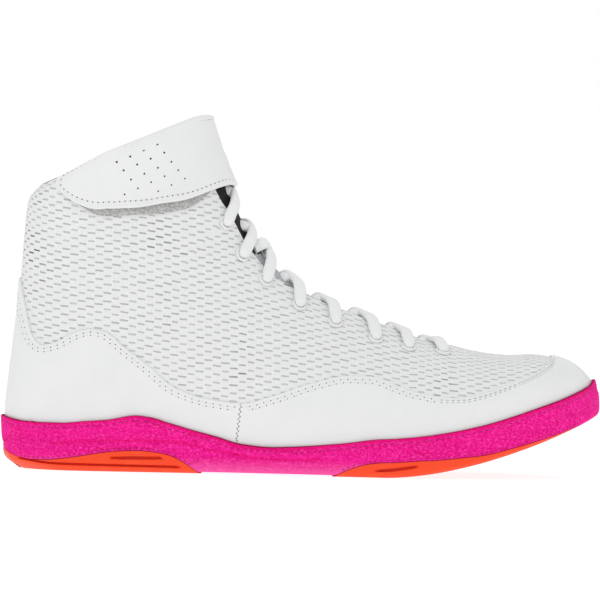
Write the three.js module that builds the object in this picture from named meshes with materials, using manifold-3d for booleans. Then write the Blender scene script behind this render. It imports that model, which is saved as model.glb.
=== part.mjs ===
import * as THREE from 'three';
import { mergeVertices } from 'three/addons/utils/BufferGeometryUtils.js';
import Module from 'manifold-3d';

const wasm = await Module();
wasm.setup();

// A right wrestling shoe in millimetres: toe to +X, +Z up, outer side at -Y, inner side at +Y.
// The origin is the middle of the heel's flat rest, on the floor.

// Sizes of the whole shoe
const shoeLength = 288;
const ballWidth = 98;
const heelWidth = 67;
const collarRise = 156.5;
const clearance = 0.3;

// Sole
const toeSpring = 30.5;
const springPower = 1.73;
const heelStack = 12.5;
const ballStack = 9.5;
const toeStack = 8;
const wrapRise = 14.7;
const wrapWall = 1.3;
const lipGap = 0.7;
const soleBulge = 0.7;
const soleEdge = 2.4;
const rimRise = 0.6;
const rimInset = 0.2;
const heelBevel = 6;
const archRelief = 0.7;
const grooveWidth = 0.9;
const grooveDepth = 1.3;

// Upper and what is sewn to it
const upperWall = 1.8;
const overlayWall = 1;
const throatWidth = 16;
const collarGap = 15;
const tongueWall = 2.5;
const tongueTuck = 9;
const insoleWall = 3;
const insoleGap = 1.3;
const seamPitch = 4;
const seamThrow = 1.6;
const strapWall = 2;
const patchWall = 1;
const patchShow = 2;
const tongueSpread = 3;
const heelTuck = 0.6;

// Lacing
const eyeletHole = 4.6;
const eyeletRing = 7.4;
const ringRise = 0.8;
const ringSeat = 0.55;
const laceWidth = 6;
const laceDepth = 2.8;
const laceSides = 6;

// Places along the shoe, as shares of its length from the back of the heel
const heelRestAt = 0.1976;
const springAt = 0.642;
const seamAt = 0.395;
const throatAt = 0.77;
const capAt = 0.922;
const tabRise = 0.505;
const centreInset = 0.075;
const archSpan = [0.3, 0.58];
const bevelSpan = [0, 0.13];
const widthSpan = [0.25, 0.6];
const waistSpan = [0.28, 0.62];
const toeSpan = [0.65, 0.95];

// Places in the fan of sections, in rows, and shares of a section, of a strap or of a strand
const throatRound = 0.9;
const tongueFront = 0.9;
const tongueClimb = [0.6, 1.8];
const topCross = 1.2;
const strandReach = 0.42;
const strandSettle = 0.625;
const lowerShare = 0.32;
const bulgeShare = 0.85;
const strapSewn = 0.12;
const strapSink = 0.3;
const patchStart = 0.2;
const patchReach = 0.6;
const smallStep = 0.04;
const upperSteps = 8;

const white = { color: 0xe9e9ec, roughness: 0.55, metalness: 0 };
const knit = { color: 0xe4e6ea, roughness: 0.85, metalness: 0 };
const pink = { color: 0xe01f8f, roughness: 0.95, metalness: 0 };
const orange = { color: 0xff5a2a, roughness: 0.6, metalness: 0 };
const grey = { color: 0xb8bcc2, roughness: 1, metalness: 0 };
const black = { color: 0x1c1c1f, roughness: 0.9, metalness: 0 };

const mix = (a, b, t) => a + (b - a) * t;
const clamp = (value, low, high) => Math.min(Math.max(value, low), high);
const ease = (t) => clamp(t, 0, 1) ** 2 * (3 - 2 * clamp(t, 0, 1));
const easeOver = (value, [from, to]) => ease((value - from) / (to - from));
function table(columns, ...rows) {
  return rows.map((row) => Object.fromEntries(columns.map((name, i) => [name, row[i]])));
}

// A smooth curve through the values that never overshoots them
function curveThrough(places, values) {
  const rise = places.slice(1).map((place, i) => (values[i + 1] - values[i]) / (place - places[i]));
  const slopes = places.map((_, i) => {
    if (i === 0 || i === places.length - 1) return rise[i === 0 ? 0 : i - 1];
    const before = rise[i - 1];
    const after = rise[i];
    return before * after <= 0 ? 0 : (2 * before * after) / (before + after);
  });
  return (at) => {
    const place = clamp(at, places[0], places.at(-1));
    const last = places.length - 2;
    const found = places.findIndex((value) => value > place);
    const i = found < 0 ? last : clamp(found - 1, 0, last);
    const span = places[i + 1] - places[i];
    const t = (place - places[i]) / span;
    const back = 1 - t;
    const ends = values[i] * back * back * (1 + 2 * t) + values[i + 1] * t * t * (3 - 2 * t);
    return ends + span * t * back * (slopes[i] * back - slopes[i + 1] * t);
  };
}

// Heights of the ground side of the sole and of the bed inside, over the floor
function soleHeight(x) {
  const from = springAt * shoeLength;
  return toeSpring * Math.max(0, (x - from) / (shoeLength - from)) ** springPower;
}
function bedHeight(x) {
  const share = x / shoeLength;
  const middle = mix(heelStack, ballStack, easeOver(share, waistSpan));
  return soleHeight(x) + mix(middle, toeStack, easeOver(share, toeSpan));
}

// Sections of the last, a fan of planes from the toe over the instep to the collar.
// baseX and topX are shares of the length, baseRise and topRise of the collar's rise over the bed.
// middle, ridge and half are shares of the shoe's width there: the middle line of the foot, the line
// of the ridge and the greatest half width. foot is the share of that half width at the feather,
// widest the place of the greatest width up the section, low and high the roundness below and above.
const sections = table(
  ['name', 'baseX', 'baseRise', 'topX', 'topRise', 'middle', 'ridge', 'half', 'foot', 'widest', 'low', 'high'],
  ['toe tip', 0.990, 0.014, 0.990, 0.014, 0.082, 0.082, 0, 0.8, 0.35, 2.2, 2.2],
  ['toe nose', 0.987, 0.006, 0.987, 0.054, 0.082, 0.082, 0.082, 0.81, 0.35, 2.2, 2.2],
  ['toe front', 0.979, 0, 0.976, 0.092, 0.081, 0.081, 0.153, 0.893, 0.32, 2.2, 2.3],
  ['toe cap', 0.958, 0, 0.957, 0.137, 0.077, 0.078, 0.25, 0.947, 0.3, 2.2, 2.4],
  ['toe roof', 0.927, 0, 0.929, 0.180, 0.066, 0.070, 0.327, 0.969, 0.28, 2.2, 2.4],
  ['toe box', 0.885, 0, 0.894, 0.217, 0.051, 0.060, 0.391, 0.982, 0.25, 2.2, 2.3],
  ['toes', 0.833, 0, 0.847, 0.244, 0.033, 0.050, 0.431, 0.983, 0.22, 2.2, 2.2],
  ['vamp front', 0.778, 0, 0.799, 0.278, 0.012, 0.042, 0.459, 0.989, 0.2, 2.2, 2.1],
  ['ball', 0.715, 0, 0.747, 0.321, -0.012, 0.035, 0.469, 0.989, 0.18, 2.2, 1.95],
  ['vamp', 0.653, 0, 0.694, 0.362, -0.033, 0.030, 0.447, 0.982, 0.18, 2.2, 1.85],
  ['vamp back', 0.590, 0, 0.642, 0.408, -0.049, 0.025, 0.409, 0.962, 0.2, 2.2, 1.75],
  ['waist front', 0.524, 0, 0.590, 0.446, -0.061, 0.020, 0.387, 0.932, 0.25, 2.2, 1.7],
  ['waist', 0.455, 0, 0.542, 0.480, -0.064, 0.015, 0.399, 0.899, 0.3, 2.2, 1.7],
  ['waist back', 0.382, 0, 0.497, 0.519, -0.052, 0.010, 0.429, 0.894, 0.32, 2.2, 1.7],
  ['instep', 0.306, 0, 0.458, 0.564, -0.033, 0.005, 0.470, 0.917, 0.32, 2.2, 1.75],
  ['instep back', 0.226, 0, 0.431, 0.616, -0.012, 0, 0.485, 0.938, 0.32, 2.3, 1.85],
  ['heel front', 0.149, 0, 0.411, 0.668, 0, 0, 0.478, 0.947, 0.35, 2.3, 1.95],
  ['heel seat', 0.083, 0, 0.397, 0.718, 0, 0, 0.455, 0.852, 0.38, 2.4, 2.1],
  ['heel edge', 0.038, 0, 0.389, 0.750, 0, 0, 0.440, 0.566, 0.4, 2.4, 2.15],
  ['heel corner', 0.025, 0, 0.385, 0.766, 0, 0, 0.440, 0.37, 0.41, 2.4, 2.2],
  ['heel point', 0.0174, 0, 0.381, 0.781, 0, 0, 0.440, 0, 0.42, 2.4, 2.2],
  ['heel curve', 0.0110, 0.036, 0.377, 0.800, 0, 0, 0.440, 0, 0.42, 2.4, 2.2],
  ['heel back', 0.0094, 0.106, 0.372, 0.825, 0, 0, 0.437, 0, 0.42, 2.4, 2.2],
  ['counter', 0.0135, 0.196, 0.365, 0.853, 0, 0, 0.433, 0, 0.42, 2.4, 2.2],
  ['counter top', 0.0196, 0.298, 0.359, 0.882, 0, 0, 0.425, 0, 0.43, 2.4, 2.2],
  ['ankle low', 0.0257, 0.413, 0.352, 0.910, 0, 0, 0.418, 0, 0.44, 2.35, 2.2],
  ['ankle', 0.0288, 0.534, 0.347, 0.939, 0, 0, 0.425, 0, 0.45, 2.3, 2.2],
  ['ankle high', 0.033, 0.649, 0.342, 0.964, 0, 0, 0.448, 0, 0.45, 2.3, 2.2],
  ['collar under', 0.038, 0.739, 0.338, 0.986, 0, 0, 0.470, 0, 0.45, 2.3, 2.2],
  ['collar', 0.059, 0.791, 0.335, 1.002, 0, 0, 0.485, 0, 0.46, 2.3, 2.2],
  ['over collar', 0.083, 0.828, 0.332, 1.030, 0, 0, 0.485, 0, 0.47, 2.3, 2.2],
);
const rowNumbers = sections.map((_, i) => i);
const rowOf = (name) => sections.findIndex((row) => row.name === name);
const columns = Object.keys(sections[0]).filter((name) => name !== 'name');
const curves = Object.fromEntries(columns.map((name) => {
  return [name, curveThrough(rowNumbers, sections.map((row) => row[name]))];
}));
const lastRow = sections.length - 1;

// The section at a row number, which may lie between two rows, with its lengths in millimetres
function sectionAt(row) {
  const read = Object.fromEntries(columns.map((name) => [name, curves[name](row)]));
  const width = mix(heelWidth, ballWidth, easeOver(read.baseX, widthSpan));
  const baseX = read.baseX * shoeLength;
  const topX = read.topX * shoeLength;
  return {
    ...read,
    base: [baseX, bedHeight(baseX) + clearance + read.baseRise * collarRise],
    top: [topX, bedHeight(topX) + clearance + read.topRise * collarRise],
    middle: read.middle * width,
    ridge: read.ridge * width,
    half: read.half * width,
  };
}

// How far up a section and how far out a point is: a superellipse arc below the widest place, one above
function acrossSection(section, up) {
  const { foot, widest, low, high } = section;
  const cut = (1 - foot ** low) ** (1 / low);
  if (up < lowerShare) {
    const lean = Math.sin(Math.asin(cut) * (1 - up / lowerShare));
    return { along: widest * (1 - lean / cut), out: Math.max(0, 1 - lean ** low) ** (1 / low) };
  }
  const lean = Math.sin((Math.PI / 2) * (up - lowerShare) / (1 - lowerShare));
  return { along: mix(widest, 1, lean), out: Math.max(0, 1 - lean ** high) ** (1 / high) };
}

// The outer face of the upper: row runs from toe to collar, up from the feather to the ridge
function formAt(row, up, side) {
  const section = sectionAt(row);
  const { along, out } = acrossSection(section, up);
  return new THREE.Vector3(
    mix(section.base[0], section.top[0], along),
    mix(section.middle, section.ridge, along) + side * out * section.half,
    mix(section.base[1], section.top[1], along),
  );
}
function normalAt(row, up, side) {
  const nearRow = Math.max(row, 4 * smallStep);
  const rowLow = formAt(Math.max(row - smallStep, 0), up, side);
  const upLow = formAt(nearRow, Math.max(up - smallStep / 2, 0), side);
  const alongRow = formAt(Math.min(row + smallStep, lastRow), up, side).sub(rowLow);
  const alongUp = formAt(nearRow, Math.min(up + smallStep / 2, 1), side).sub(upLow);
  return alongRow.cross(alongUp).multiplyScalar(side).normalize();
}

// A point of the form with its normal, level at the feather so that every bottom edge is level
function onForm({ row, up }, side) {
  const normal = normalAt(row, up, side);
  if (up === 0 && row <= heelRow) normal.setZ(0).normalize();
  return { point: formAt(row, up, side), normal };
}

// The place on the form under a point of the side view
function placeAt(x, z) {
  const ahead = (row) => {
    const { base, top } = sectionAt(row);
    return (top[1] - base[1]) * (x - base[0]) - (top[0] - base[0]) * (z - base[1]);
  };
  let [near, far] = [1, lastRow];
  for (let i = 0; i < 40; i += 1) {
    const row = (near + far) / 2;
    if (ahead(row) > 0) far = row;
    else near = row;
  }
  const section = sectionAt(near);
  const [runX, runZ] = [section.top[0] - section.base[0], section.top[1] - section.base[1]];
  const along = ((x - section.base[0]) * runX + (z - section.base[1]) * runZ) / (runX ** 2 + runZ ** 2);
  let [low, high] = [0, 1];
  for (let i = 0; i < 30; i += 1) {
    const up = (low + high) / 2;
    if (acrossSection(section, up).along > along) high = up;
    else low = up;
  }
  return { row: near, up: low };
}

// The row whose base, or top, is at a place along the shoe
function rowWith(read, x, from, to) {
  let [near, far] = [from, to];
  for (let i = 0; i < 40; i += 1) {
    const row = (near + far) / 2;
    if (read(sectionAt(row)) < x) far = row;
    else near = row;
  }
  return near;
}

// Solids from triangle lists, welded where points meet
function weld(points, triangles, normals = null) {
  const found = new Map();
  const kept = [];
  const sums = [];
  const index = points.map((point, i) => {
    const key = point.toArray().map((value) => Math.round(value * 2000)).join();
    if (!found.has(key)) {
      found.set(key, kept.length);
      kept.push(point);
      sums.push(new THREE.Vector3());
    }
    if (normals) sums[found.get(key)].add(normals[i]);
    return found.get(key);
  });
  const faces = triangles.map((face) => face.map((corner) => index[corner]))
    .filter(([a, b, c]) => a !== b && b !== c && c !== a);
  return { points: kept, triangles: faces, normals: sums.map((sum) => sum.normalize()) };
}
function volumeOf(points, triangles) {
  return triangles.reduce((sum, [a, b, c]) => {
    return sum + points[a].dot(new THREE.Vector3().crossVectors(points[b], points[c])) / 6;
  }, 0);
}
function solidFrom(points, triangles) {
  const faces = volumeOf(points, triangles) < 0 ? triangles.map(([a, b, c]) => [a, c, b]) : triangles;
  return new wasm.Manifold(new wasm.Mesh({
    numProp: 3,
    vertProperties: new Float32Array(points.flatMap((point) => point.toArray())),
    triVerts: new Uint32Array(faces.flat()),
  }));
}
function solidFromGeometry(geometry) {
  geometry.deleteAttribute('normal');
  geometry.deleteAttribute('uv');
  const merged = mergeVertices(geometry, 1e-4);
  return new wasm.Manifold(new wasm.Mesh({
    numProp: 3,
    vertProperties: merged.getAttribute('position').array,
    triVerts: new Uint32Array(merged.getIndex().array),
  }));
}

// A sheet of the form given a wall: its outer face, its inner face and a strip round every open edge
function wallFrom(sheet, inner, outer) {
  const count = sheet.points.length;
  const at = (distance) => sheet.points.map((point, i) => {
    const reach = typeof distance === 'function' ? distance(sheet.tags[i]) : distance;
    return point.clone().addScaledVector(sheet.normals[i], reach);
  });
  const open = new Map();
  for (const [a, b, c] of sheet.triangles) {
    for (const [from, to] of [[a, b], [b, c], [c, a]]) {
      if (!open.delete(`${to},${from}`)) open.set(`${from},${to}`, [from, to]);
    }
  }
  const strip = [...open.values()].flatMap(([from, to]) => {
    return [[to, from, from + count], [to, from + count, to + count]];
  });
  const inside = sheet.triangles.map(([a, b, c]) => [c + count, b + count, a + count]);
  return solidFrom([...at(outer), ...at(inner)], [...sheet.triangles, ...inside, ...strip]);
}

// Both halves of a sheet of the form; at gives row and up for a line and a step across it.
// A fitted sheet lies on the facets of the upper, so that it keeps its distance from them all over.
function sheetOf({ lines, steps, at, sides = [-1, 1], fitted = false }) {
  const points = [];
  const normals = [];
  const tags = [];
  const triangles = [];
  for (const side of sides) {
    const first = points.length;
    for (const line of lines) {
      for (let step = 0; step <= steps; step += 1) {
        const place = at(line, step / steps, side);
        const { point, normal } = fitted ? onFacet(place, side) : onForm(place, side);
        points.push(point);
        normals.push(normal);
        tags.push({ ...place, side, line, share: step / steps });
      }
    }
    for (let i = 0; i < lines.length - 1; i += 1) {
      for (let step = 0; step < steps; step += 1) {
        const a = first + i * (steps + 1) + step;
        const b = a + steps + 1;
        const faces = [[a, b, b + 1], [a, b + 1, a + 1]];
        triangles.push(...(side > 0 ? faces : faces.map(([p, q, r]) => [p, r, q])));
      }
    }
  }
  const welded = weld(points, triangles, normals);
  const keys = new Map(welded.points.map((point, i) => [point, i]));
  welded.tags = Array(welded.points.length);
  points.forEach((point, i) => {
    if (keys.has(point)) welded.tags[keys.get(point)] = tags[i];
  });
  return welded;
}

// Even lines between rows, with the named rows kept
function linesBetween(stops, counts) {
  const lines = counts.flatMap((count, i) => {
    return Array.from({ length: count }, (_, k) => mix(stops[i], stops[i + 1], k / count));
  });
  return [...lines, stops.at(-1)];
}

// A side-view edge, as a height over the bed along the shoe
function edgeFrom(rows, unit) {
  return curveThrough(rows.map((row) => row.x * shoeLength), rows.map((row) => row.rise * unit));
}

const collarRow = rowOf('collar');
const heelRow = rowOf('heel point');
const throatRow = rowWith((section) => section.top[0], throatAt * shoeLength, 0, collarRow);
const seamRow = rowWith((section) => section.base[0], seamAt * shoeLength, 1, heelRow);

// The throat is a slot with a round front end that widens to the collar
function throatHalf(row) {
  const open = Math.max(0, row - throatRow);
  const slot = (throatWidth / 2) * Math.sqrt(Math.min(1, open / throatRound));
  return slot + (collarGap / 2) * ease(open / (collarRow - throatRow));
}
function upAtHalf(row, half) {
  const section = sectionAt(row);
  const out = Math.min(1, half / Math.max(section.half, 1));
  const lean = Math.max(0, 1 - out ** section.high) ** (1 / section.high);
  return lowerShare + (1 - lowerShare) * Math.asin(Math.min(1, lean)) / (Math.PI / 2);
}
const throatReach = (row) => (row <= throatRow ? 1 : upAtHalf(row, throatHalf(row)));

// The facets of the upper: its lines of sections and the steps up each of them
const capRow = rowWith((section) => section.top[0], capAt * shoeLength, 0, throatRow);
const tabHeight = bedHeight(0) + tabRise * collarRise;
const tabRow = rowWith((section) => -section.base[1], -tabHeight, heelRow, collarRow);
const upperLines = linesBetween(
  [0, capRow, throatRow, throatRow + 1, seamRow, rowOf('heel seat'), heelRow, tabRow, collarRow],
  [5, 3, 2, 4, 4, 3, 4, 3],
);
const facets = Object.fromEntries([-1, 1].map((side) => [side, upperLines.map((row) => {
  return Array.from({ length: upperSteps + 1 }, (_, k) => {
    return onForm({ row, up: (k / upperSteps) * throatReach(row) }, side);
  });
})]));
function onFacet({ row, up }, side) {
  const found = upperLines.findIndex((line) => line > row);
  const line = found < 0 ? upperLines.length - 2 : found - 1;
  const ahead = (row - upperLines[line]) / (upperLines[line + 1] - upperLines[line]);
  const share = (up / throatReach(row)) * upperSteps;
  const step = Math.min(Math.floor(share), upperSteps - 1);
  const read = (key) => {
    const along = [line, line + 1].map((i) => {
      return facets[side][i][step][key].clone().lerp(facets[side][i][step + 1][key], share - step);
    });
    return along[0].lerp(along[1], ahead);
  };
  return { point: read('point'), normal: read('normal') };
}
function fittedWall(from, to, inner, outer, sunk = 0) {
  const sheet = sheetOf({
    lines: upperLinesFrom(from, to),
    steps: upperSteps,
    fitted: true,
    at: (row, share) => ({ row, up: share * throatReach(row) }),
  });
  sheet.points.forEach((point, i) => {
    if (sheet.tags[i].up === 0 && sheet.tags[i].row <= heelRow) point.z -= sunk;
  });
  return wallFrom(sheet, inner, outer);
}
const upperLinesFrom = (from, to) => [from, ...upperLines.filter((row) => row > from && row < to), to];

// Side-view edges, as shares of the length and of a rise over the bed
const overlayRows = table(
  ['x', 'rise'],
  [0.026, 0.52], [0.031, 0.491], [0.038, 0.43], [0.046, 0.369], [0.053, 0.328], [0.069, 0.303], [0.093, 0.314],
  [0.121, 0.342], [0.149, 0.355], [0.173, 0.348], [0.206, 0.302], [0.250, 0.241], [0.293, 0.180], [0.347, 0.150],
  [0.400, 0.142], [0.453, 0.169], [0.527, 0.221], [0.581, 0.243], [0.613, 0.243], [0.692, 0.192], [0.741, 0.165],
  [0.789, 0.151], [0.836, 0.155], [0.884, 0.162], [0.916, 0.176], [0.924, 0.22], [0.930, 0.30],
);
const overlayEdge = edgeFrom(overlayRows, collarRise);
const wrapRows = table(
  ['x', 'rise'],
  [0, 0.946], [0.022, 0.823], [0.062, 0.721], [0.102, 0.701], [0.142, 0.769], [0.183, 0.850], [0.229, 1],
  [0.253, 0.952], [0.283, 0.789], [0.324, 0.578], [0.364, 0.408], [0.405, 0.224], [0.445, 0.184], [0.485, 0.238],
  [0.565, 0.408], [0.645, 0.599], [0.726, 0.626], [0.806, 0.633], [0.886, 0.653], [0.945, 0.612], [0.979, 0.599],
  [0.993, 0.782],
);
const wrapEdge = edgeFrom(wrapRows, wrapRise);
const heelPodEdge = table(
  ['x', 'rise'],
  [-0.03, 1.3], [0.011, 0.92], [0.023, 0.656], [0.043, 0.448], [0.063, 0.384], [0.083, 0.392], [0.123, 0.504],
  [0.164, 0.68], [0.204, 0.792], [0.234, 0.816], [0.264, 0.76], [0.284, 0.672], [0.305, 0.464], [0.318, 0.28],
  [0.340, -0.1],
);
const forePodEdge = table(
  ['x', 'rise'],
  [0.555, -0.1], [0.586, 0.368], [0.606, 0.579], [0.626, 0.695], [0.646, 0.758], [0.686, 0.758], [0.726, 0.663],
  [0.767, 0.537], [0.807, 0.379], [0.847, 0.305], [0.887, 0.232], [0.927, 0.147], [0.947, 0.105], [0.965, -0.1],
);

// Upper: one wall, open underneath, at the throat and at the collar, with sixteen holes
const eyelets = table(
  ['x', 'rise'],
  [0.3715, 0.690], [0.3990, 0.596], [0.4390, 0.523], [0.4965, 0.453],
  [0.5570, 0.406], [0.6250, 0.361], [0.6805, 0.332], [0.7380, 0.304],
).map((row) => {
  const x = row.x * shoeLength;
  return placeAt(x, bedHeight(x) + row.rise * collarRise);
});
function standAt(geometry, place, side) {
  const { point, normal } = onFacet(place, side);
  const upright = new THREE.Vector3(0, 1, 0);
  geometry.applyQuaternion(new THREE.Quaternion().setFromUnitVectors(upright, normal.normalize()));
  return geometry.translate(point.x, point.y, point.z);
}
function upperSolid() {
  let solid = fittedWall(0, collarRow, -upperWall, 0);
  for (const place of eyelets) {
    for (const side of [-1, 1]) {
      const punch = new THREE.CylinderGeometry(eyeletHole / 2, eyeletHole / 2, 5 * upperWall, 6);
      solid = solid.subtract(solidFromGeometry(standAt(punch, place, side)));
    }
  }
  return solid;
}

// Leather overlays: the form's wall kept below one edge line, either side of a zigzag seam
function overlaySolid(from, to, prism) {
  return fittedWall(from, to, clearance, clearance + overlayWall).intersect(prism);
}
function edgeOutline(edge, places) {
  return places.map((share) => share * shoeLength).map((x) => [x, bedHeight(x) + edge(x)]);
}
function seamLine(side) {
  const x = seamAt * shoeLength + side * clearance / 2;
  const top = bedHeight(x) + overlayEdge(x);
  const count = Math.round((top + heelStack) / seamPitch);
  return Array.from({ length: count + 1 }, (_, i) => {
    return [x + (i % 2 ? seamThrow : -seamThrow) / 2, top - (i * (top + heelStack)) / count];
  });
}
function overlaySolids() {
  const places = overlayRows.map((row) => row.x);
  const throwShare = seamThrow / shoeLength;
  const behind = edgeOutline(overlayEdge, places.filter((share) => share < seamAt - throwShare));
  const before = edgeOutline(overlayEdge, places.filter((share) => share > seamAt + throwShare));
  const [floor, back] = [-heelStack, -0.1 * shoeLength];
  const rear = acrossPrism([[back, floor], [back, behind[0][1]], ...behind, ...seamLine(-1)]);
  const ahead = 1.1 * shoeLength;
  const roof = bedHeight(shoeLength) + collarRise;
  const front = acrossPrism([...seamLine(1).reverse(), ...before, [before.at(-1)[0], roof], [ahead, roof],
    [ahead, floor]]);
  return {
    rear: overlaySolid(seamRow - 1, tabRow, rear),
    front: overlaySolid(0, seamRow + 1, front),
  };
}

// Midsole: a block under the feather line with a rim, and a lip that wraps up the side of the upper
const lipInner = clearance + overlayWall + lipGap;
const flare = lipInner + wrapWall + soleBulge;
function featherFrame(row, side) {
  const point = formAt(row, 0, side);
  if (row <= 0) return { point, out: new THREE.Vector3(1, 0, 0) };
  if (row >= heelRow) return { point, out: new THREE.Vector3(-1, 0, 0) };
  const along = formAt(row + smallStep / 2, 0, side).sub(formAt(row - smallStep / 2, 0, side));
  return { point, out: new THREE.Vector3(-along.y, along.x, 0).multiplyScalar(-side).normalize() };
}
const centreRows = [
  rowWith((section) => section.base[0], (1 - centreInset) * shoeLength, 0, heelRow),
  rowWith((section) => section.base[0], centreInset * shoeLength, 0, heelRow),
];
// The edge under the sole's side, from the ground up: shares of the edge's and the bevel's size that each
// corner lies in and up by, and of the bulge and the heel's tuck
const edgeCorners = table(
  ['edgeIn', 'bevelIn', 'bulge', 'tuck', 'edgeUp', 'bevelUp'],
  [1, 1.1, 0, 0, 0, 0],
  [0.35, 0.45, 0, 0, 0.5, 0.3],
  [0, 0, 0.4, 1, 1, 0.6],
);
function blockRing(row, inset) {
  const half = (side) => {
    const { point, out } = featherFrame(row, side);
    const bottom = soleHeight(point.x);
    const bed = bedHeight(point.x);
    const heel = 1 - easeOver(point.x / shoeLength, bevelSpan);
    const at = (reach, z) => point.clone().addScaledVector(out, reach - (z < bed ? inset : 0)).setZ(z);
    return [
      ...edgeCorners.map((corner) => at(
        flare + soleBulge * corner.bulge - soleEdge * corner.edgeIn
          - heel * (heelBevel * corner.bevelIn + heelTuck * corner.tuck),
        bottom + soleEdge * corner.edgeUp + heel * heelBevel * corner.bevelUp,
      )),
      at(flare + soleBulge / 2, mix(bottom, bed, bulgeShare)),
      at(flare, point.z + rimRise),
      at(lipInner + rimInset, point.z + rimRise),
      at(lipInner + rimInset, bed),
    ];
  };
  const section = sectionAt(clamp(row, ...centreRows));
  const centre = (z) => new THREE.Vector3(section.base[0], section.middle, z);
  const bottom = centre(soleHeight(section.base[0]));
  const bed = centre(bedHeight(section.base[0]));
  return [bottom, ...half(-1), bed, ...half(1).reverse()];
}
function blockSolid(inset) {
  const rows = upperLinesFrom(0, heelRow);
  const points = rows.flatMap((row) => blockRing(row, inset));
  const size = points.length / rows.length;
  const triangles = [];
  for (let i = 0; i < rows.length - 1; i += 1) {
    for (let k = 0; k < size; k += 1) {
      const [a, b] = [i * size + k, i * size + ((k + 1) % size)];
      triangles.push([a, b, b + size], [a, b + size, a + size]);
    }
  }
  const welded = weld(points, triangles);
  return solidFrom(welded.points, welded.triangles);
}
// A prism across the shoe from an outline in the side view
function acrossPrism(outline) {
  const shape = new THREE.Shape(outline.map(([x, z]) => new THREE.Vector2(x, z)));
  const depth = 2 * ballWidth;
  const prism = new THREE.ExtrudeGeometry(shape, { depth, bevelEnabled: false });
  return solidFromGeometry(prism.rotateX(Math.PI / 2).translate(0, depth / 2, 0));
}
function podPrism(rows, unit, lift) {
  const places = rows.map((row) => row.x * shoeLength);
  const curve = curveThrough(places, rows.map((row) => row.rise * unit));
  const count = 2 * rows.length;
  const upper = Array.from({ length: count + 1 }, (_, i) => {
    const x = mix(places[0] - lift, places.at(-1) + lift, i / count);
    return [x, soleHeight(x) + curve(x) + lift];
  });
  const floor = -heelStack;
  return acrossPrism([[upper[0][0], floor], [upper.at(-1)[0], floor], ...upper.reverse()]);
}
// A groove along the side of a pod, cut in from its face
function sideGroove(points, core) {
  const top = points.map(([x, z]) => [x * shoeLength, z + grooveWidth / 2]);
  const low = points.map(([x, z]) => [x * shoeLength, z - grooveWidth / 2]);
  return acrossPrism([...low, ...top.reverse()]).subtract(core);
}
// The grooves that show on the outer side, as places along the shoe and shares of the stack there
const grooveRows = {
  heel: [
    [[0.037, 0.43], [0.10, 0.27], [0.2, 0.25], [0.30, 0.23]],
    [[0.184, 0.51], [0.273, 0.55]],
  ],
  forefoot: [[[0.628, 0.34], [0.699, 0.5]]],
};
function soleSolids() {
  const block = blockSolid(0);
  const core = blockSolid(grooveDepth);
  const edge = edgeOutline(wrapEdge, wrapRows.map((row) => row.x));
  const [back, ahead] = [-0.1 * shoeLength, 1.1 * shoeLength];
  const lip = fittedWall(0, tabRow, lipInner, lipInner + wrapWall, rimRise).intersect(acrossPrism(
    [[back, -heelStack], [back, edge[0][1]], ...edge, [ahead, edge.at(-1)[1]], [ahead, -heelStack]],
  ));
  const [archBack, archFront] = archSpan.map((share) => share * shoeLength);
  const arch = acrossPrism([[archBack, -heelStack], [archFront, -heelStack], [archFront, archRelief],
    [archBack, archRelief]]);
  const carve = (solid, lines, stack) => lines.reduce((left, line) => {
    return left.subtract(sideGroove(line.map(([share, up]) => [share, up * stack]), core));
  }, solid);
  return {
    midsole: block.add(lip).subtract(podPrism(heelPodEdge, heelStack, clearance))
      .subtract(podPrism(forePodEdge, ballStack, clearance)).subtract(arch),
    heelPod: carve(block.intersect(podPrism(heelPodEdge, heelStack, 0)), grooveRows.heel, heelStack),
    forePod: carve(block.intersect(podPrism(forePodEdge, ballStack, 0)), grooveRows.forefoot, ballStack),
  };
}

// Tongue: under the edges of the throat, raised to the ridge line between them
function tongueSolid() {
  const front = throatRow - tongueFront;
  const profile = table(
    ['across', 'tuck', 'sink'],
    [0, 0, 0.1], [0.6, 0, 0.3], [0.9, 0, 1], [1, 1, 1],
  );
  const sink = curveThrough(profile.map((_, i) => i), profile.map((row) => row.sink));
  const sheet = sheetOf({
    lines: upperLinesFrom(front, collarRow),
    steps: profile.length - 1,
    at: (row, share) => {
      const { across, tuck } = profile[Math.round((1 - share) * (profile.length - 1))];
      const spread = row <= throatRow ? tongueSpread : 0;
      const half = across * (throatHalf(row) + spread) + tuck * tongueTuck;
      return { row, up: half > 0 ? upAtHalf(row, half) : 1 };
    },
  });
  const under = upperWall + 3 * clearance;
  const top = (tag) => {
    const open = easeOver(tag.line - throatRow, tongueClimb);
    return -under * mix(1, sink((1 - tag.share) * (profile.length - 1)), open);
  };
  return wallFrom(sheet, (tag) => top(tag) - tongueWall, top);
}

// Insole: a pad on the bed, inside the wall of the upper
function insoleSolid() {
  const rows = upperLinesFrom(rowOf('toe nose'), rowOf('heel corner'));
  const reach = -(upperWall + insoleGap);
  const rings = rows.map((row) => {
    const edge = (side, z) => {
      const { point, out } = featherFrame(row, side);
      return point.addScaledVector(out, reach).setZ(bedHeight(point.x) + z);
    };
    const [low, high] = [clearance, clearance + insoleWall];
    return [edge(-1, low), edge(1, low), edge(1, high), edge(-1, high)];
  });
  const points = rings.flat();
  const triangles = [[0, 1, 2], [0, 2, 3]];
  for (let i = 0; i < rows.length - 1; i += 1) {
    for (let k = 0; k < 4; k += 1) {
      const [a, b] = [i * 4 + k, i * 4 + ((k + 1) % 4)];
      triangles.push([a, a + 4, b + 4], [a, b + 4, b]);
    }
  }
  const last = (rows.length - 1) * 4;
  triangles.push([last, last + 2, last + 1], [last, last + 3, last + 2]);
  return solidFrom(points, triangles);
}

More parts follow.
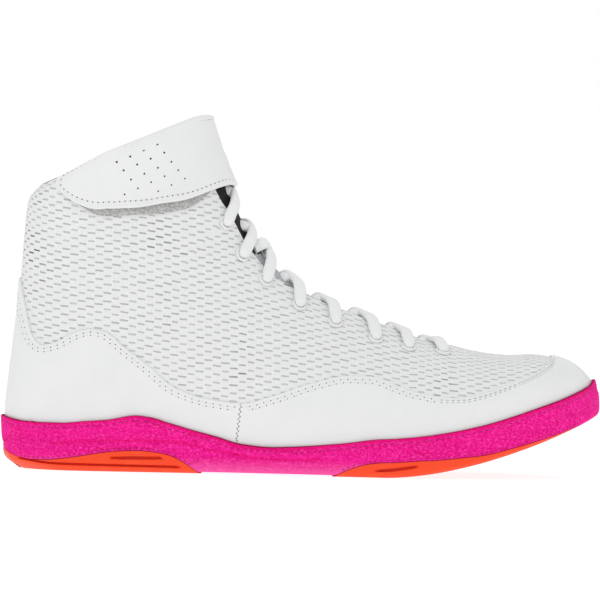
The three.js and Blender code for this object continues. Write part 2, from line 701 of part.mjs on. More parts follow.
// Strap: from a sewn end on the inner side, over the throat, to a round end on the outer side
const strapStations = table(
  ['at', 'lowX', 'lowRise', 'highX', 'highRise'],
  [0, 0.0917, 0.802, 0.0938, 0.812],
  [0.03, 0.0965, 0.779, 0.1028, 0.822],
  [0.10, 0.1087, 0.759, 0.1163, 0.834],
  [0.20, 0.1285, 0.737, 0.1354, 0.858],
  [0.34, 0.1594, 0.723, 0.1743, 0.905],
  [0.50, 0.2083, 0.728, 0.2222, 0.948],
  [0.66, 0.2604, 0.741, 0.2639, 0.981],
  [0.80, 0.3125, 0.761, 0.3020, 1.006],
);
const strapRidge = { low: 0.804, high: 1.012 };
function strapSheet(from, sides) {
  const places = strapStations.map((row) => {
    const point = (x, rise) => placeAt(x * shoeLength, bedHeight(0) + rise * collarRise);
    return { at: row.at, low: point(row.lowX, row.lowRise), high: point(row.highX, row.highRise) };
  });
  const onRidge = (rise) => {
    const z = bedHeight(0) + rise * collarRise;
    return { row: rowWith((section) => -section.top[1], -z, heelRow, lastRow), up: 1 };
  };
  places.push({ at: 1, low: onRidge(strapRidge.low), high: onRidge(strapRidge.high) });
  const stops = places.map((place) => place.at);
  const read = (edge, key) => curveThrough(stops, places.map((place) => place[edge][key]));
  const [lowRow, lowUp] = [read('low', 'row'), read('low', 'up')];
  const [highRow, highUp] = [read('high', 'row'), read('high', 'up')];
  return sheetOf({
    lines: linesBetween([from, patchStart, 1], [4, 10]),
    steps: 4,
    sides,
    at: (line, share) => ({
      row: mix(lowRow(line), highRow(line), share),
      up: mix(lowUp(line), highUp(line), share),
    }),
  });
}
function strapSolid() {
  const outer = strapSheet(0, [-1]);
  const inner = strapSheet(strapSewn, [1]);
  const count = outer.points.length;
  const joined = weld(
    [...outer.points, ...inner.points],
    [...outer.triangles, ...inner.triangles.map((face) => face.map((corner) => corner + count))],
    [...outer.normals, ...inner.normals],
  );
  const tags = [...outer.tags, ...inner.tags];
  const all = [...outer.points, ...inner.points];
  joined.tags = joined.points.map((point) => tags[all.indexOf(point)]);
  const seat = 3 * clearance + patchWall;
  const lift = (tag) => mix(seat, 2 * clearance, tag.side > 0 ? ease((1 - tag.line) / strapSink) : 0);
  return wallFrom(joined, lift, (tag) => lift(tag) + strapWall);
}
// Loop patch: sewn to the outer quarter, showing as a line below the strap
function patchSolid() {
  const stations = strapStations.filter((row) => row.at >= patchStart);
  const lines = linesBetween([0, stations.length - 1], [10]);
  const read = (key) => curveThrough(stations.map((_, i) => i), stations.map((row) => row[key]));
  const [lowX, lowRise, highX, highRise] = [read('lowX'), read('lowRise'), read('highX'), read('highRise')];
  const sheet = sheetOf({
    lines,
    steps: 2,
    sides: [-1],
    at: (line, share) => {
      const x = mix(lowX(line), highX(line), share * patchReach) * shoeLength;
      const rise = mix(lowRise(line), highRise(line), share * patchReach) * collarRise;
      return placeAt(x, bedHeight(0) + rise - patchShow * (1 - share));
    },
  });
  return wallFrom(sheet, clearance, clearance + patchWall);
}

// Eyelet rings: stamped washers round the holes
function ringSolid(place, side) {
  const [low, high] = [ringSeat, ringSeat + ringRise];
  const [inner, outer] = [eyeletHole / 2, eyeletRing / 2];
  const profile = [[inner, low], [outer, low], [outer, high], [inner, high], [inner, low]];
  const ring = new THREE.LatheGeometry(profile.map(([reach, z]) => new THREE.Vector2(reach, z)), 8);
  return solidFromGeometry(standAt(ring, place, side));
}

// Lace: at each pair of eyelets two flat strands rise from the rings and cross on the ridge
function strandSolid(from, side, ridgeRow, to, stop) {
  const count = 3;
  const seat = ringSeat + ringRise + 2 * clearance + laceDepth / 2;
  const cruise = 3 * clearance + laceDepth / 2 + (side < 0 ? clearance : 0);
  const stations = [];
  for (let i = 0; i <= count; i += 1) {
    const t = i / count;
    const lift = mix(seat, cruise, ease(t / strandSettle));
    stations.push({ row: mix(from.row, ridgeRow, t), up: mix(from.up, 1, t), side, lift });
  }
  for (let i = 1; i <= stop; i += 1) {
    const t = (i / stop) * strandReach;
    stations.push({ row: mix(ridgeRow, to.row, t), up: mix(1, to.up, t), side: -side, lift: cruise });
  }
  const path = stations.map((station) => {
    const normal = normalAt(station.row, station.up, station.side);
    if (station.up >= 1) normal.setY(0).normalize();
    const seated = formAt(station.row, station.up, station.side);
    return { point: seated.addScaledVector(normal, station.lift), normal };
  });
  const points = path.flatMap(({ point, normal }, i) => {
    const [before, after] = [path[Math.max(i - 1, 0)], path[Math.min(i + 1, path.length - 1)]];
    const ahead = after.point.clone().sub(before.point).normalize();
    const across = new THREE.Vector3().crossVectors(ahead, normal).normalize();
    const rise = new THREE.Vector3().crossVectors(across, ahead);
    return Array.from({ length: laceSides }, (_, k) => {
      const turn = ((k + 0.5) / laceSides) * 2 * Math.PI;
      return point.clone().addScaledVector(across, Math.cos(turn) * laceWidth / 2)
        .addScaledVector(rise, Math.sin(turn) * laceDepth / 2);
    });
  });
  const triangles = [];
  for (let k = 1; k < laceSides - 1; k += 1) {
    const last = points.length - laceSides;
    triangles.push([0, k + 1, k], [last, last + k, last + k + 1]);
  }
  for (let i = 0; i < path.length - 1; i += 1) {
    for (let k = 0; k < laceSides; k += 1) {
      const [a, b] = [i * laceSides + k, i * laceSides + ((k + 1) % laceSides)];
      triangles.push([a, b, b + laceSides], [a, b + laceSides, a + laceSides]);
    }
  }
  return solidFrom(points, triangles);
}
function laceSolid(level) {
  const from = eyelets[level];
  const to = eyelets[Math.max(level - 1, 0)];
  const ridgeRow = level === 0 ? from.row + topCross : (from.row + to.row) / 2;
  const stop = level === 0 ? 0 : 2;
  return strandSolid(from, -1, ridgeRow, to, stop).add(strandSolid(from, 1, ridgeRow, to, stop));
}

// The finished pieces, moved so that the heel's rest is at the origin
const shoe = new THREE.Group();
function addPiece(name, solid, finish) {
  const mesh = solid.getMesh();
  const geometry = new THREE.BufferGeometry();
  geometry.setAttribute('position', new THREE.BufferAttribute(mesh.vertProperties, 3));
  geometry.setIndex(new THREE.BufferAttribute(mesh.triVerts, 1));
  const piece = new THREE.Mesh(geometry, new THREE.MeshStandardMaterial(finish));
  piece.name = name;
  piece.position.x = -heelRestAt * shoeLength;
  shoe.add(piece);
}

const sole = soleSolids();
const overlays = overlaySolids();
addPiece('heel_outsole', sole.heelPod, orange);
addPiece('forefoot_outsole', sole.forePod, orange);
addPiece('suede_midsole', sole.midsole, pink);
addPiece('insole', insoleSolid(), grey);
addPiece('upper', upperSolid(), knit);
addPiece('tongue', tongueSolid(), black);
addPiece('rear_overlay', overlays.rear, white);
addPiece('front_overlay', overlays.front, white);
addPiece('strap_loop_patch', patchSolid(), grey);
addPiece('ankle_strap', strapSolid(), white);
eyelets.forEach((place, i) => {
  addPiece(`outer_eyelet_${i + 1}`, ringSolid(place, -1), white);
  addPiece(`inner_eyelet_${i + 1}`, ringSolid(place, 1), white);
  addPiece(`lace_crossing_${i + 1}`, laceSolid(i), white);
});

export default shoe;
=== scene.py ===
import math
import bpy
import numpy as np
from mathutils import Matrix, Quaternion, Vector


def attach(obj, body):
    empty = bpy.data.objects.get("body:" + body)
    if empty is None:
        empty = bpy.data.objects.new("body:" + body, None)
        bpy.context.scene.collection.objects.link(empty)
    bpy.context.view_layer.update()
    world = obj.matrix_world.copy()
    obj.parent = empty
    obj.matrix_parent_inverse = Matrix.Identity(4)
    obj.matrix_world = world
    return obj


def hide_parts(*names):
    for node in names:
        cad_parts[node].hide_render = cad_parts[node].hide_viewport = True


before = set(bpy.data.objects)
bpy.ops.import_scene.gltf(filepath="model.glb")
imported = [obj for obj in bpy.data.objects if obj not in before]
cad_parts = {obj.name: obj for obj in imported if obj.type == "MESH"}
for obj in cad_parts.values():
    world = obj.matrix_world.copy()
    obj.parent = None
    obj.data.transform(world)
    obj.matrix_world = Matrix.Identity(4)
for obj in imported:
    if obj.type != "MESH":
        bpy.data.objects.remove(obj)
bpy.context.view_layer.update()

# A right wrestling shoe. Lengths are in millimetres up to the moment that a mesh is made.
metre = 0.001
shoe = {"length": 288.0, "ballWidth": 98.0, "heelWidth": 67.0, "collarRise": 156.5, "upperWall": 1.8,
        "clearance": 0.3, "heelRestAt": 0.1976, "seamAt": 0.395, "throatAt": 0.77, "capAt": 0.922,
        "tabRise": 0.505}
sole = {"toeSpring": 30.5, "springPower": 1.73, "springAt": 0.642, "heelStack": 12.5, "ballStack": 9.5,
        "toeStack": 8.0, "wrapRise": 14.7, "wrapWall": 1.3, "lipGap": 0.7, "bulge": 0.7, "edge": 2.4,
        "rimRise": 0.6, "heelBevel": 6.0, "archRelief": 0.7, "grooveDepth": 1.3, "lines": 300}
length = shoe["length"]
sideWords = ((-1, "outer"), (1, "inner"))


# Curves and shares

def mix(a, b, t):
    return a + (b - a) * t


def ease(t):
    t = np.clip(t, 0, 1)
    return t * t * (3 - 2 * t)


def unit(vectors):
    size = np.linalg.norm(vectors, axis=-1, keepdims=True)
    return vectors / np.where(size < 1e-9, 1, size)


def curveThrough(places, values):
    # Cubic pieces whose slopes are harmonic means of the slopes beside them, so they never overshoot
    places, values = np.asarray(places, float), np.asarray(values, float)
    rise = np.diff(values) / np.diff(places)
    before, after = rise[:-1], rise[1:]
    turning = before * after <= 0
    total = np.where(turning, 1, before + after)
    inner = np.where(turning, 0, 2 * before * after / total)
    slopes = np.concatenate([rise[:1], inner, rise[-1:]])

    def read(at):
        place = np.clip(at, places[0], places[-1])
        i = np.clip(np.searchsorted(places, place, side="right") - 1, 0, len(places) - 2)
        span = places[i + 1] - places[i]
        t = (place - places[i]) / span
        back = 1 - t
        ends = values[i] * back ** 2 * (1 + 2 * t) + values[i + 1] * t ** 2 * (3 - 2 * t)
        return ends + span * t * back * (slopes[i] * back - slopes[i + 1] * t)
    return read


def halving(above, low, high, times=34):
    # The place between low and high where the test turns true, found for whole arrays at once
    for _ in range(times):
        middle = (low + high) / 2
        over = above(middle)
        high = np.where(over, middle, high)
        low = np.where(over, low, middle)
    return (low + high) / 2


# The last: a fan of sections from the toe over the instep to the collar

sectionColumns = ["baseX", "baseRise", "topX", "topRise", "middle", "ridge", "half", "foot", "widest",
                  "low", "high"]
sectionRows = {
    "toe tip": (0.990, 0.014, 0.990, 0.014, 0.082, 0.082, 0, 0.8, 0.35, 2.2, 2.2),
    "toe nose": (0.987, 0.006, 0.987, 0.054, 0.082, 0.082, 0.082, 0.81, 0.35, 2.2, 2.2),
    "toe front": (0.979, 0, 0.976, 0.092, 0.081, 0.081, 0.153, 0.893, 0.32, 2.2, 2.3),
    "toe cap": (0.958, 0, 0.957, 0.137, 0.077, 0.078, 0.25, 0.947, 0.3, 2.2, 2.4),
    "toe roof": (0.927, 0, 0.929, 0.180, 0.066, 0.070, 0.327, 0.969, 0.28, 2.2, 2.4),
    "toe box": (0.885, 0, 0.894, 0.217, 0.051, 0.060, 0.391, 0.982, 0.25, 2.2, 2.3),
    "toes": (0.833, 0, 0.847, 0.244, 0.033, 0.050, 0.431, 0.983, 0.22, 2.2, 2.2),
    "vamp front": (0.778, 0, 0.799, 0.278, 0.012, 0.042, 0.459, 0.989, 0.2, 2.2, 2.1),
    "ball": (0.715, 0, 0.747, 0.321, -0.012, 0.035, 0.469, 0.989, 0.18, 2.2, 1.95),
    "vamp": (0.653, 0, 0.694, 0.362, -0.033, 0.030, 0.447, 0.982, 0.18, 2.2, 1.85),
    "vamp back": (0.590, 0, 0.642, 0.408, -0.049, 0.025, 0.409, 0.962, 0.2, 2.2, 1.75),
    "waist front": (0.524, 0, 0.590, 0.446, -0.061, 0.020, 0.387, 0.932, 0.25, 2.2, 1.7),
    "waist": (0.455, 0, 0.542, 0.480, -0.064, 0.015, 0.399, 0.899, 0.3, 2.2, 1.7),
    "waist back": (0.382, 0, 0.497, 0.519, -0.052, 0.010, 0.429, 0.894, 0.32, 2.2, 1.7),
    "instep": (0.306, 0, 0.458, 0.564, -0.033, 0.005, 0.470, 0.917, 0.32, 2.2, 1.75),
    "instep back": (0.226, 0, 0.431, 0.616, -0.012, 0, 0.485, 0.938, 0.32, 2.3, 1.85),
    "heel front": (0.149, 0, 0.411, 0.668, 0, 0, 0.478, 0.947, 0.35, 2.3, 1.95),
    "heel seat": (0.083, 0, 0.397, 0.718, 0, 0, 0.455, 0.852, 0.38, 2.4, 2.1),
    "heel edge": (0.038, 0, 0.389, 0.750, 0, 0, 0.440, 0.566, 0.4, 2.4, 2.15),
    "heel corner": (0.025, 0, 0.385, 0.766, 0, 0, 0.440, 0.37, 0.41, 2.4, 2.2),
    "heel point": (0.0174, 0, 0.381, 0.781, 0, 0, 0.440, 0, 0.42, 2.4, 2.2),
    "heel curve": (0.0110, 0.036, 0.377, 0.800, 0, 0, 0.440, 0, 0.42, 2.4, 2.2),
    "heel back": (0.0094, 0.106, 0.372, 0.825, 0, 0, 0.437, 0, 0.42, 2.4, 2.2),
    "counter": (0.0135, 0.196, 0.365, 0.853, 0, 0, 0.433, 0, 0.42, 2.4, 2.2),
    "counter top": (0.0196, 0.298, 0.359, 0.882, 0, 0, 0.425, 0, 0.43, 2.4, 2.2),
    "ankle low": (0.0257, 0.413, 0.352, 0.910, 0, 0, 0.418, 0, 0.44, 2.35, 2.2),
    "ankle": (0.0288, 0.534, 0.347, 0.939, 0, 0, 0.425, 0, 0.45, 2.3, 2.2),
    "ankle high": (0.033, 0.649, 0.342, 0.964, 0, 0, 0.448, 0, 0.45, 2.3, 2.2),
    "collar under": (0.038, 0.739, 0.338, 0.986, 0, 0, 0.470, 0, 0.45, 2.3, 2.2),
    "collar": (0.059, 0.791, 0.335, 1.002, 0, 0, 0.485, 0, 0.46, 2.3, 2.2),
    "over collar": (0.083, 0.828, 0.332, 1.030, 0, 0, 0.485, 0, 0.47, 2.3, 2.2),
}
rowNames = list(sectionRows)
sectionTable = np.array(list(sectionRows.values()), float)
sectionCurves = {name: curveThrough(np.arange(len(rowNames)), sectionTable[:, i])
                 for i, name in enumerate(sectionColumns)}
lastRow = len(rowNames) - 1
collarRow = rowNames.index("collar")
heelRow = rowNames.index("heel point")
lowerShare = 0.32


def soleHeight(x):
    start = sole["springAt"] * length
    return sole["toeSpring"] * np.maximum(0, (x - start) / (length - start)) ** sole["springPower"]


def bedHeight(x):
    share = np.asarray(x) / length
    middle = mix(sole["heelStack"], sole["ballStack"], ease((share - 0.28) / 0.34))
    return soleHeight(x) + mix(middle, sole["toeStack"], ease((share - 0.65) / 0.3))


def sectionAt(row):
    read = {name: sectionCurves[name](row) for name in sectionColumns}
    width = mix(shoe["heelWidth"], shoe["ballWidth"], ease((read["baseX"] - 0.25) / 0.35))
    for end in ("base", "top"):
        x = read[end + "X"] * length
        read[end + "Along"] = x
        read[end + "Up"] = bedHeight(x) + shoe["clearance"] + read[end + "Rise"] * shoe["collarRise"]
    for name in ("middle", "ridge", "half"):
        read[name] = read[name] * width
    return read


def acrossSection(section, up):
    # A superellipse arc from the feather to the widest place, and one from there to the ridge
    foot, widest, low, high = (section[name] for name in ("foot", "widest", "low", "high"))
    cut = (1 - foot ** low) ** (1 / low)
    lean = np.sin(np.arcsin(np.clip(cut, 0, 1)) * (1 - np.clip(up / lowerShare, 0, 1)))
    under = np.maximum(0, 1 - lean ** low) ** (1 / low)
    rise = np.sin(math.pi / 2 * np.clip((up - lowerShare) / (1 - lowerShare), 0, 1))
    over = np.maximum(0, 1 - rise ** high) ** (1 / high)
    below = up < lowerShare
    along = np.where(below, widest * (1 - lean / cut), mix(widest, 1, rise))
    return along, np.where(below, under, over)


upperCreases = [  # middle as x and height, direction in degrees, half length, half width, height of the ridge
    (52, 112, -28, 26, 5.0, 0.55), (60, 98, -30, 24, 5.0, -0.60), (74, 86, -24, 22, 4.5, 0.45),
    (96, 104, -52, 16, 3.6, 0.50), (101, 96, -50, 15, 3.4, -0.55), (109, 88, -48, 13, 3.2, 0.40),
    (36, 88, 18, 20, 6.0, -0.45), (30, 104, 25, 18, 5.0, 0.40), (126, 70, -18, 18, 4.0, 0.45),
    (132, 60, -12, 20, 4.0, -0.45), (150, 57, 8, 14, 3.4, 0.35), (190, 50, 74, 10, 4.0, -0.55),
    (203, 48, 78, 11, 4.4, 0.45), (217, 45, 80, 10, 4.0, -0.50), (232, 44, 70, 9, 4.5, 0.35),
]


def creaseAt(x, z):
    # Each crease is a bell across its line that fades out along it
    amount = 0 * x
    for middleX, middleZ, turn, longHalf, wideHalf, high in upperCreases:
        cos, sin = math.cos(math.radians(turn)), math.sin(math.radians(turn))
        along = ((x - middleX) * cos + (z - middleZ) * sin) / longHalf
        across = ((z - middleZ) * cos - (x - middleX) * sin) / wideHalf
        amount = amount + high * np.exp(-along ** 2 - across ** 2)
    return amount


def plainForm(row, up, side):
    section = sectionAt(row)
    along, out = acrossSection(section, up)
    x = mix(section["baseAlong"], section["topAlong"], along)
    y = mix(section["middle"], section["ridge"], along) + side * out * section["half"]
    z = mix(section["baseUp"], section["topUp"], along)
    swell = creaseAt(x, z)
    return np.stack([x, y + side * out * swell, z + np.sqrt(np.maximum(0, 1 - out ** 2)) * swell], axis=-1)


heelFold = {"start": 19.1, "end": 20.5, "near": 17.6, "far": 23.2, "reach": 0.42}


def formAt(row, up, side):
    # Round the heel the form is an average of five sections, so that the counter turns under softly
    row, up, side = np.broadcast_arrays(np.asarray(row, float), up, side)
    spread = ease((row - heelFold["near"]) / 1.6) * ease((heelFold["far"] - row) / 1.8) * ease(up / 0.05)
    if not spread.any():
        return plainForm(row, up, side)
    weights = (0.1, 0.25, 0.3, 0.25, 0.1)
    return sum(weight * plainForm(row + (k - 2) * heelFold["reach"] * spread, up, side)
               for k, weight in enumerate(weights))


def slopeAt(row, up, side, step=0.04):
    # Across the small steps along the row numbers and up the section
    near, half = np.maximum(row, 4 * step), step / 2
    before, after = (formAt(np.clip(row + move, 0, lastRow), up, side) for move in (-step, step))
    below, above = (formAt(near, np.clip(up + move, 0, 1), side) for move in (-half, half))
    return unit(np.cross(after - before, above - below) * side[..., None])


def normalAt(row, up, side):
    # Where the sections bunch up under the heel, the normal is a blend of those before and behind
    row, up, side = np.broadcast_arrays(np.asarray(row, float), up, side)
    start, end = heelFold["start"], heelFold["end"]
    share = np.clip((row - start) / (end - start), 0, 1)[..., None]
    folded = (share > 0) & (share < 1)
    ends = [slopeAt(np.full(row.shape, place), up, side) for place in (start, end)]
    blended = mix(*ends, share)
    normal = np.where(folded, blended, slopeAt(row, up, side))
    level = (up <= 0) & (row <= heelRow)
    normal[..., 2] = np.where(level, 0, normal[..., 2])
    ridge = up >= 1
    normal[..., 1] = np.where(ridge, 0, normal[..., 1])
    return unit(normal)


def placeAt(x, z):
    # The row and the step up it under a point of the side view
    x, z = np.broadcast_arrays(np.asarray(x, float), z)

    def ahead(row):
        s = sectionAt(row)
        rise, run = s["topUp"] - s["baseUp"], s["topAlong"] - s["baseAlong"]
        return rise * (x - s["baseAlong"]) > run * (z - s["baseUp"])
    row = halving(ahead, np.full(x.shape, 1.0), np.full(x.shape, float(lastRow)))
    s = sectionAt(row)
    runX, runZ = s["topAlong"] - s["baseAlong"], s["topUp"] - s["baseUp"]
    along = ((x - s["baseAlong"]) * runX + (z - s["baseUp"]) * runZ) / (runX ** 2 + runZ ** 2)
    up = halving(lambda up: acrossSection(s, up)[0] > along, np.zeros(x.shape), np.ones(x.shape))
    return row, up


def rowWith(name, place, near, far, turned=1):
    # The row where one of a section's measures passes a place; turned is -1 where it grows with the rows
    near, far = np.array(float(near)), np.array(float(far))
    return float(halving(lambda row: turned * sectionAt(row)[name] < turned * place, near, far))


throatRow = rowWith("topAlong", shoe["throatAt"] * length, 0, collarRow)
seamRow = rowWith("baseAlong", shoe["seamAt"] * length, 1, heelRow)
capRow = rowWith("topAlong", shoe["capAt"] * length, 0, throatRow)
tabRow = rowWith("baseUp", bedHeight(0) + shoe["tabRise"] * shoe["collarRise"], heelRow, collarRow, -1)

throat = {"width": 16.0, "collarGap": 15.0, "round": 0.9}


def throatHalf(row):
    # A slot with a round front end, which widens to the collar
    behind = np.maximum(0, row - throatRow)
    slot = throat["width"] / 2 * np.sqrt(np.minimum(1, behind / throat["round"]))
    return slot + throat["collarGap"] / 2 * ease(behind / (collarRow - throatRow))


def upAtHalf(row, half):
    s = sectionAt(row)
    lean = np.maximum(0, 1 - np.minimum(1, half / np.maximum(s["half"], 1)) ** s["high"]) ** (1 / s["high"])
    return lowerShare + (1 - lowerShare) * np.arcsin(np.minimum(1, lean)) / (math.pi / 2)


def throatReach(row):
    return np.where(row <= throatRow, 1, upAtHalf(row, throatHalf(row)))


def edgeFrom(rows, rise):
    rows = np.array(rows)
    return curveThrough(rows[:, 0] * length, rows[:, 1] * rise)


def upUnder(row, edge):
    # The step up a section where it crosses a side-view edge, given as a height over the bed
    def above(up):
        point = formAt(row, up, -1)
        return point[..., 2] > bedHeight(point[..., 0]) + edge(point[..., 0])
    return halving(above, np.zeros(row.shape), np.ones(row.shape), 22)


# Meshes from arrays

def distances(path):
    # How far along a path each of its points is
    return np.concatenate([[0], np.cumsum(np.linalg.norm(np.diff(path, axis=0), axis=-1))])


def upright(like):
    return np.broadcast_to([0.0, 0.0, 1.0], like.shape)


def gridFaces(rows, columns, turned=False, closed=False):
    i, j = np.meshgrid(np.arange(rows - 1), np.arange(columns if closed else columns - 1), indexing="ij")
    a, b = i * columns + j, i * columns + (j + 1) % columns
    faces = np.concatenate([np.stack([a, a + columns, b + columns], -1).reshape(-1, 3),
                            np.stack([a, b + columns, b], -1).reshape(-1, 3)])
    return faces[:, ::-1] if turned else faces


def weld(points, faces, fields=(), near=0.02, kinds=None):
    # Points nearer than near become one; the fields that go with them are averaged
    _, index = np.unique(np.round(points / near).astype(np.int64), axis=0, return_inverse=True)
    index = index.reshape(-1)
    count = np.bincount(index)

    def average(values):
        sums = np.stack([np.bincount(index, values[:, k]) for k in range(values.shape[1])], -1)
        return sums / count[:, None]
    faces = index[faces]
    kept = (faces[:, 0] != faces[:, 1]) & (faces[:, 1] != faces[:, 2]) & (faces[:, 2] != faces[:, 0])
    found = (average(points), faces[kept], [average(field) for field in fields])
    return found if kinds is None else (*found, kinds[kept])


def outward(points, faces, centre=0.0):
    # Turns the faces round where they enclose a negative volume
    corners = [points[faces[:, k]] - centre for k in range(3)]
    return faces if np.sum(corners[0] * np.cross(corners[1], corners[2])) > 0 else faces[:, ::-1]


def tubeFaces(rings, around):
    # A tube of rings with a fan over each end
    corner = np.arange(1, around - 1)
    fans = [np.stack([np.full(around - 2, s), s + corner, s + corner + 1], -1)[:, ::step]
            for s, step in ((0, 1), ((rings - 1) * around, -1))]
    return np.concatenate([gridFaces(rings, around, closed=True), *fans])


def repeated(one, size, count):
    # The faces of one small thing, again for each of its copies
    return (one[None] + (np.arange(count) * size)[:, None, None]).reshape(-1, 3)


def openEdges(faces):
    pairs = np.concatenate([faces[:, [0, 1]], faces[:, [1, 2]], faces[:, [2, 0]]])
    size = int(faces.max()) + 1
    forward, backward = pairs[:, 0] * size + pairs[:, 1], pairs[:, 1] * size + pairs[:, 0]
    return pairs[~np.isin(forward, backward)]


def toObject(name, points, faces, materials, uv=None, shares=None, kinds=None, sharp=50):
    mesh = bpy.data.meshes.new(name)
    placed = (points - np.array([shoe["heelRestAt"] * length, 0, 0])) * metre
    mesh.from_pydata(placed.tolist(), [], faces.tolist())
    if uv is not None:
        layer = mesh.uv_layers.new(name="surface")
        layer.data.foreach_set("uv", (uv[faces.reshape(-1)] * metre).astype(np.float32).reshape(-1))
    for key, values in (shares or {}).items():
        attribute = mesh.attributes.new(key, "FLOAT", "POINT")
        attribute.data.foreach_set("value", values.astype(np.float32).reshape(-1))
    for material in materials:
        mesh.materials.append(material)
    if kinds is not None:
        mesh.polygons.foreach_set("material_index", kinds.astype(np.int32))
    mesh.shade_smooth()
    mesh.set_sharp_from_angle(angle=math.radians(sharp))
    piece = bpy.data.objects.new(name, mesh)
    bpy.context.scene.collection.objects.link(piece)
    return piece


def finishPiece(piece, slot, *nodes):
    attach(piece, "root")
    if nodes:
        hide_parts(*nodes)
    return piece


def wallOf(points, normals, faces, inner, outer, uv=None):
    # A sheet becomes a closed wall: its face moved out, its back moved in, a strip round each open edge
    count = len(points)
    shell = np.concatenate([points + normals * outer[:, None], points + normals * inner[:, None]])
    edges = openEdges(faces)
    strip = np.concatenate([np.stack([edges[:, 1], edges[:, 0], edges[:, 0] + count], -1),
                            np.stack([edges[:, 1], edges[:, 0] + count, edges[:, 1] + count], -1)])
    back = faces[:, ::-1] + count
    kinds = np.concatenate([np.zeros(len(faces)), np.ones(len(back)), np.full(len(strip), 2)]).astype(int)
    both = None if uv is None else np.concatenate([uv, uv])
    return shell, np.concatenate([faces, back, strip]), kinds, both


def smoothSheet(lines, shares, at, sides=(-1, 1)):
    # Both halves of a sheet of the form, welded where they meet, with row and step up kept for each point
    points, normals, faces, tags = [], [], [], []
    for side in sides:
        line, share = np.meshgrid(lines, shares, indexing="ij")
        row, up = at(line, share, side)
        first = sum(len(part) for part in points)
        points.append(formAt(row, up, side).reshape(-1, 3))
        normals.append(normalAt(row, up, side).reshape(-1, 3))
        extra = np.stack([row, up, np.full(row.shape, float(side)), line, share], -1)
        tags.append(extra.reshape(-1, 5))
        faces.append(gridFaces(len(lines), len(shares), turned=side < 0) + first)
    joined = [np.concatenate(part) for part in (points, faces, normals, tags)]
    found, kept, (normal, tag) = weld(joined[0], joined[1], (joined[2], joined[3]))
    return {"points": found, "faces": kept, "normals": unit(normal), "row": tag[:, 0], "up": tag[:, 1],
            "side": tag[:, 2], "line": tag[:, 3], "share": tag[:, 4]}


def rounded(distance, radius):
    # A quarter-round: nothing at the edge, all of it from one radius in
    t = np.clip(1 - distance / radius, 0, 1)
    return np.sqrt(np.maximum(0, 1 - t * t))


edgeShares = np.array([0, 0.004, 0.010, 0.018, 0.028])


def sharesUp(count, top=True, bottom=False):
    middle = np.linspace(edgeShares[-1] if bottom else 0, 1 - edgeShares[-1] if top else 1, count)
    parts = [edgeShares[:-1]] if bottom else []
    parts.append(middle)
    if top:
        parts.append(1 - edgeShares[:-1][::-1])
    return np.concatenate(parts)


# Shader maths

class Signal:
    # One value, colour or vector of a material's nodes, with the operators that this shoe needs
    def __init__(self, nodes, socket):
        self.nodes = nodes
        self.socket = socket

    def maths(self, operation, *others):
        return self.nodes.add("ShaderNodeMath", {"operation": operation}, dict(enumerate([self, *others])))

    def __add__(self, other):
        return self.maths("ADD", other)

    def __sub__(self, other):
        return self.maths("SUBTRACT", other)

    def __rsub__(self, other):
        return self.nodes.add("ShaderNodeMath", {"operation": "SUBTRACT"}, {0: other, 1: self})

    def __mul__(self, other):
        return self.maths("MULTIPLY", other)

    def __truediv__(self, other):
        return self.maths("DIVIDE", other)

    def __pow__(self, other):
        return self.maths("POWER", other)

    def __abs__(self):
        return self.maths("ABSOLUTE")

    __radd__ = __add__
    __rmul__ = __mul__

    def step(self, low, high):
        # A smooth rise from 0 at low to 1 at high
        return self.nodes.add("ShaderNodeMapRange", {"interpolation_type": "SMOOTHSTEP"},
                              {"Value": self, "From Min": low, "From Max": high})


class Nodes:
    def __init__(self, name, roughness=0.5, coat=0.0):
        self.material = bpy.data.materials.new(name)
        self.material.use_nodes = True
        self.tree = self.material.node_tree
        self.shader = self.tree.nodes["Principled BSDF"]
        self.shader.inputs["Roughness"].default_value = roughness
        self.shader.inputs["Coat Weight"].default_value = coat

    def add(self, kind, settings, inputs, output=0):
        node = self.tree.nodes.new(kind)
        for key, value in settings.items():
            setattr(node, key, value)
        for key, value in inputs.items():
            self.feed(node.inputs[key], value)
        return Signal(self, node.outputs[output])

    def feed(self, socket, value):
        if isinstance(value, Signal):
            self.tree.links.new(value.socket, socket)
        else:
            socket.default_value = value

    def place(self):
        return self.add("ShaderNodeTexCoord", {}, {}, "Object")

    def surface(self):
        return self.add("ShaderNodeUVMap", {"uv_map": "surface"}, {})

    def split(self, vector):
        apart = self.add("ShaderNodeSeparateXYZ", {}, {0: vector})
        return [Signal(self, socket) for socket in apart.socket.node.outputs]

    def join(self, x, y, z=0.0):
        return self.add("ShaderNodeCombineXYZ", {}, {0: x, 1: y, 2: z})

    def noise(self, vector, scale, detail=2.0, roughness=0.5):
        return self.add("ShaderNodeTexNoise", {}, {"Vector": vector, "Scale": scale, "Detail": detail,
                                                   "Roughness": roughness}, "Fac")

    def blendColour(self, share, first, second):
        node = self.tree.nodes.new("ShaderNodeMix")
        node.data_type = "RGBA"
        self.feed(node.inputs[0], share)
        self.feed(node.inputs[6], first)
        self.feed(node.inputs[7], second)
        return Signal(self, node.outputs[2])

    def attribute(self, name):
        return self.add("ShaderNodeAttribute", {"attribute_name": name}, {}, "Fac")

    def paint(self, colour, height, depth, strength, roughness=None):
        self.feed(self.shader.inputs["Base Color"], colour)
        if roughness is not None:
            self.feed(self.shader.inputs["Roughness"], roughness)
        bump = self.add("ShaderNodeBump", {}, {"Height": height, "Distance": depth, "Strength": strength})
        self.feed(self.shader.inputs["Normal"], bump)
        return self.material


# Finishes

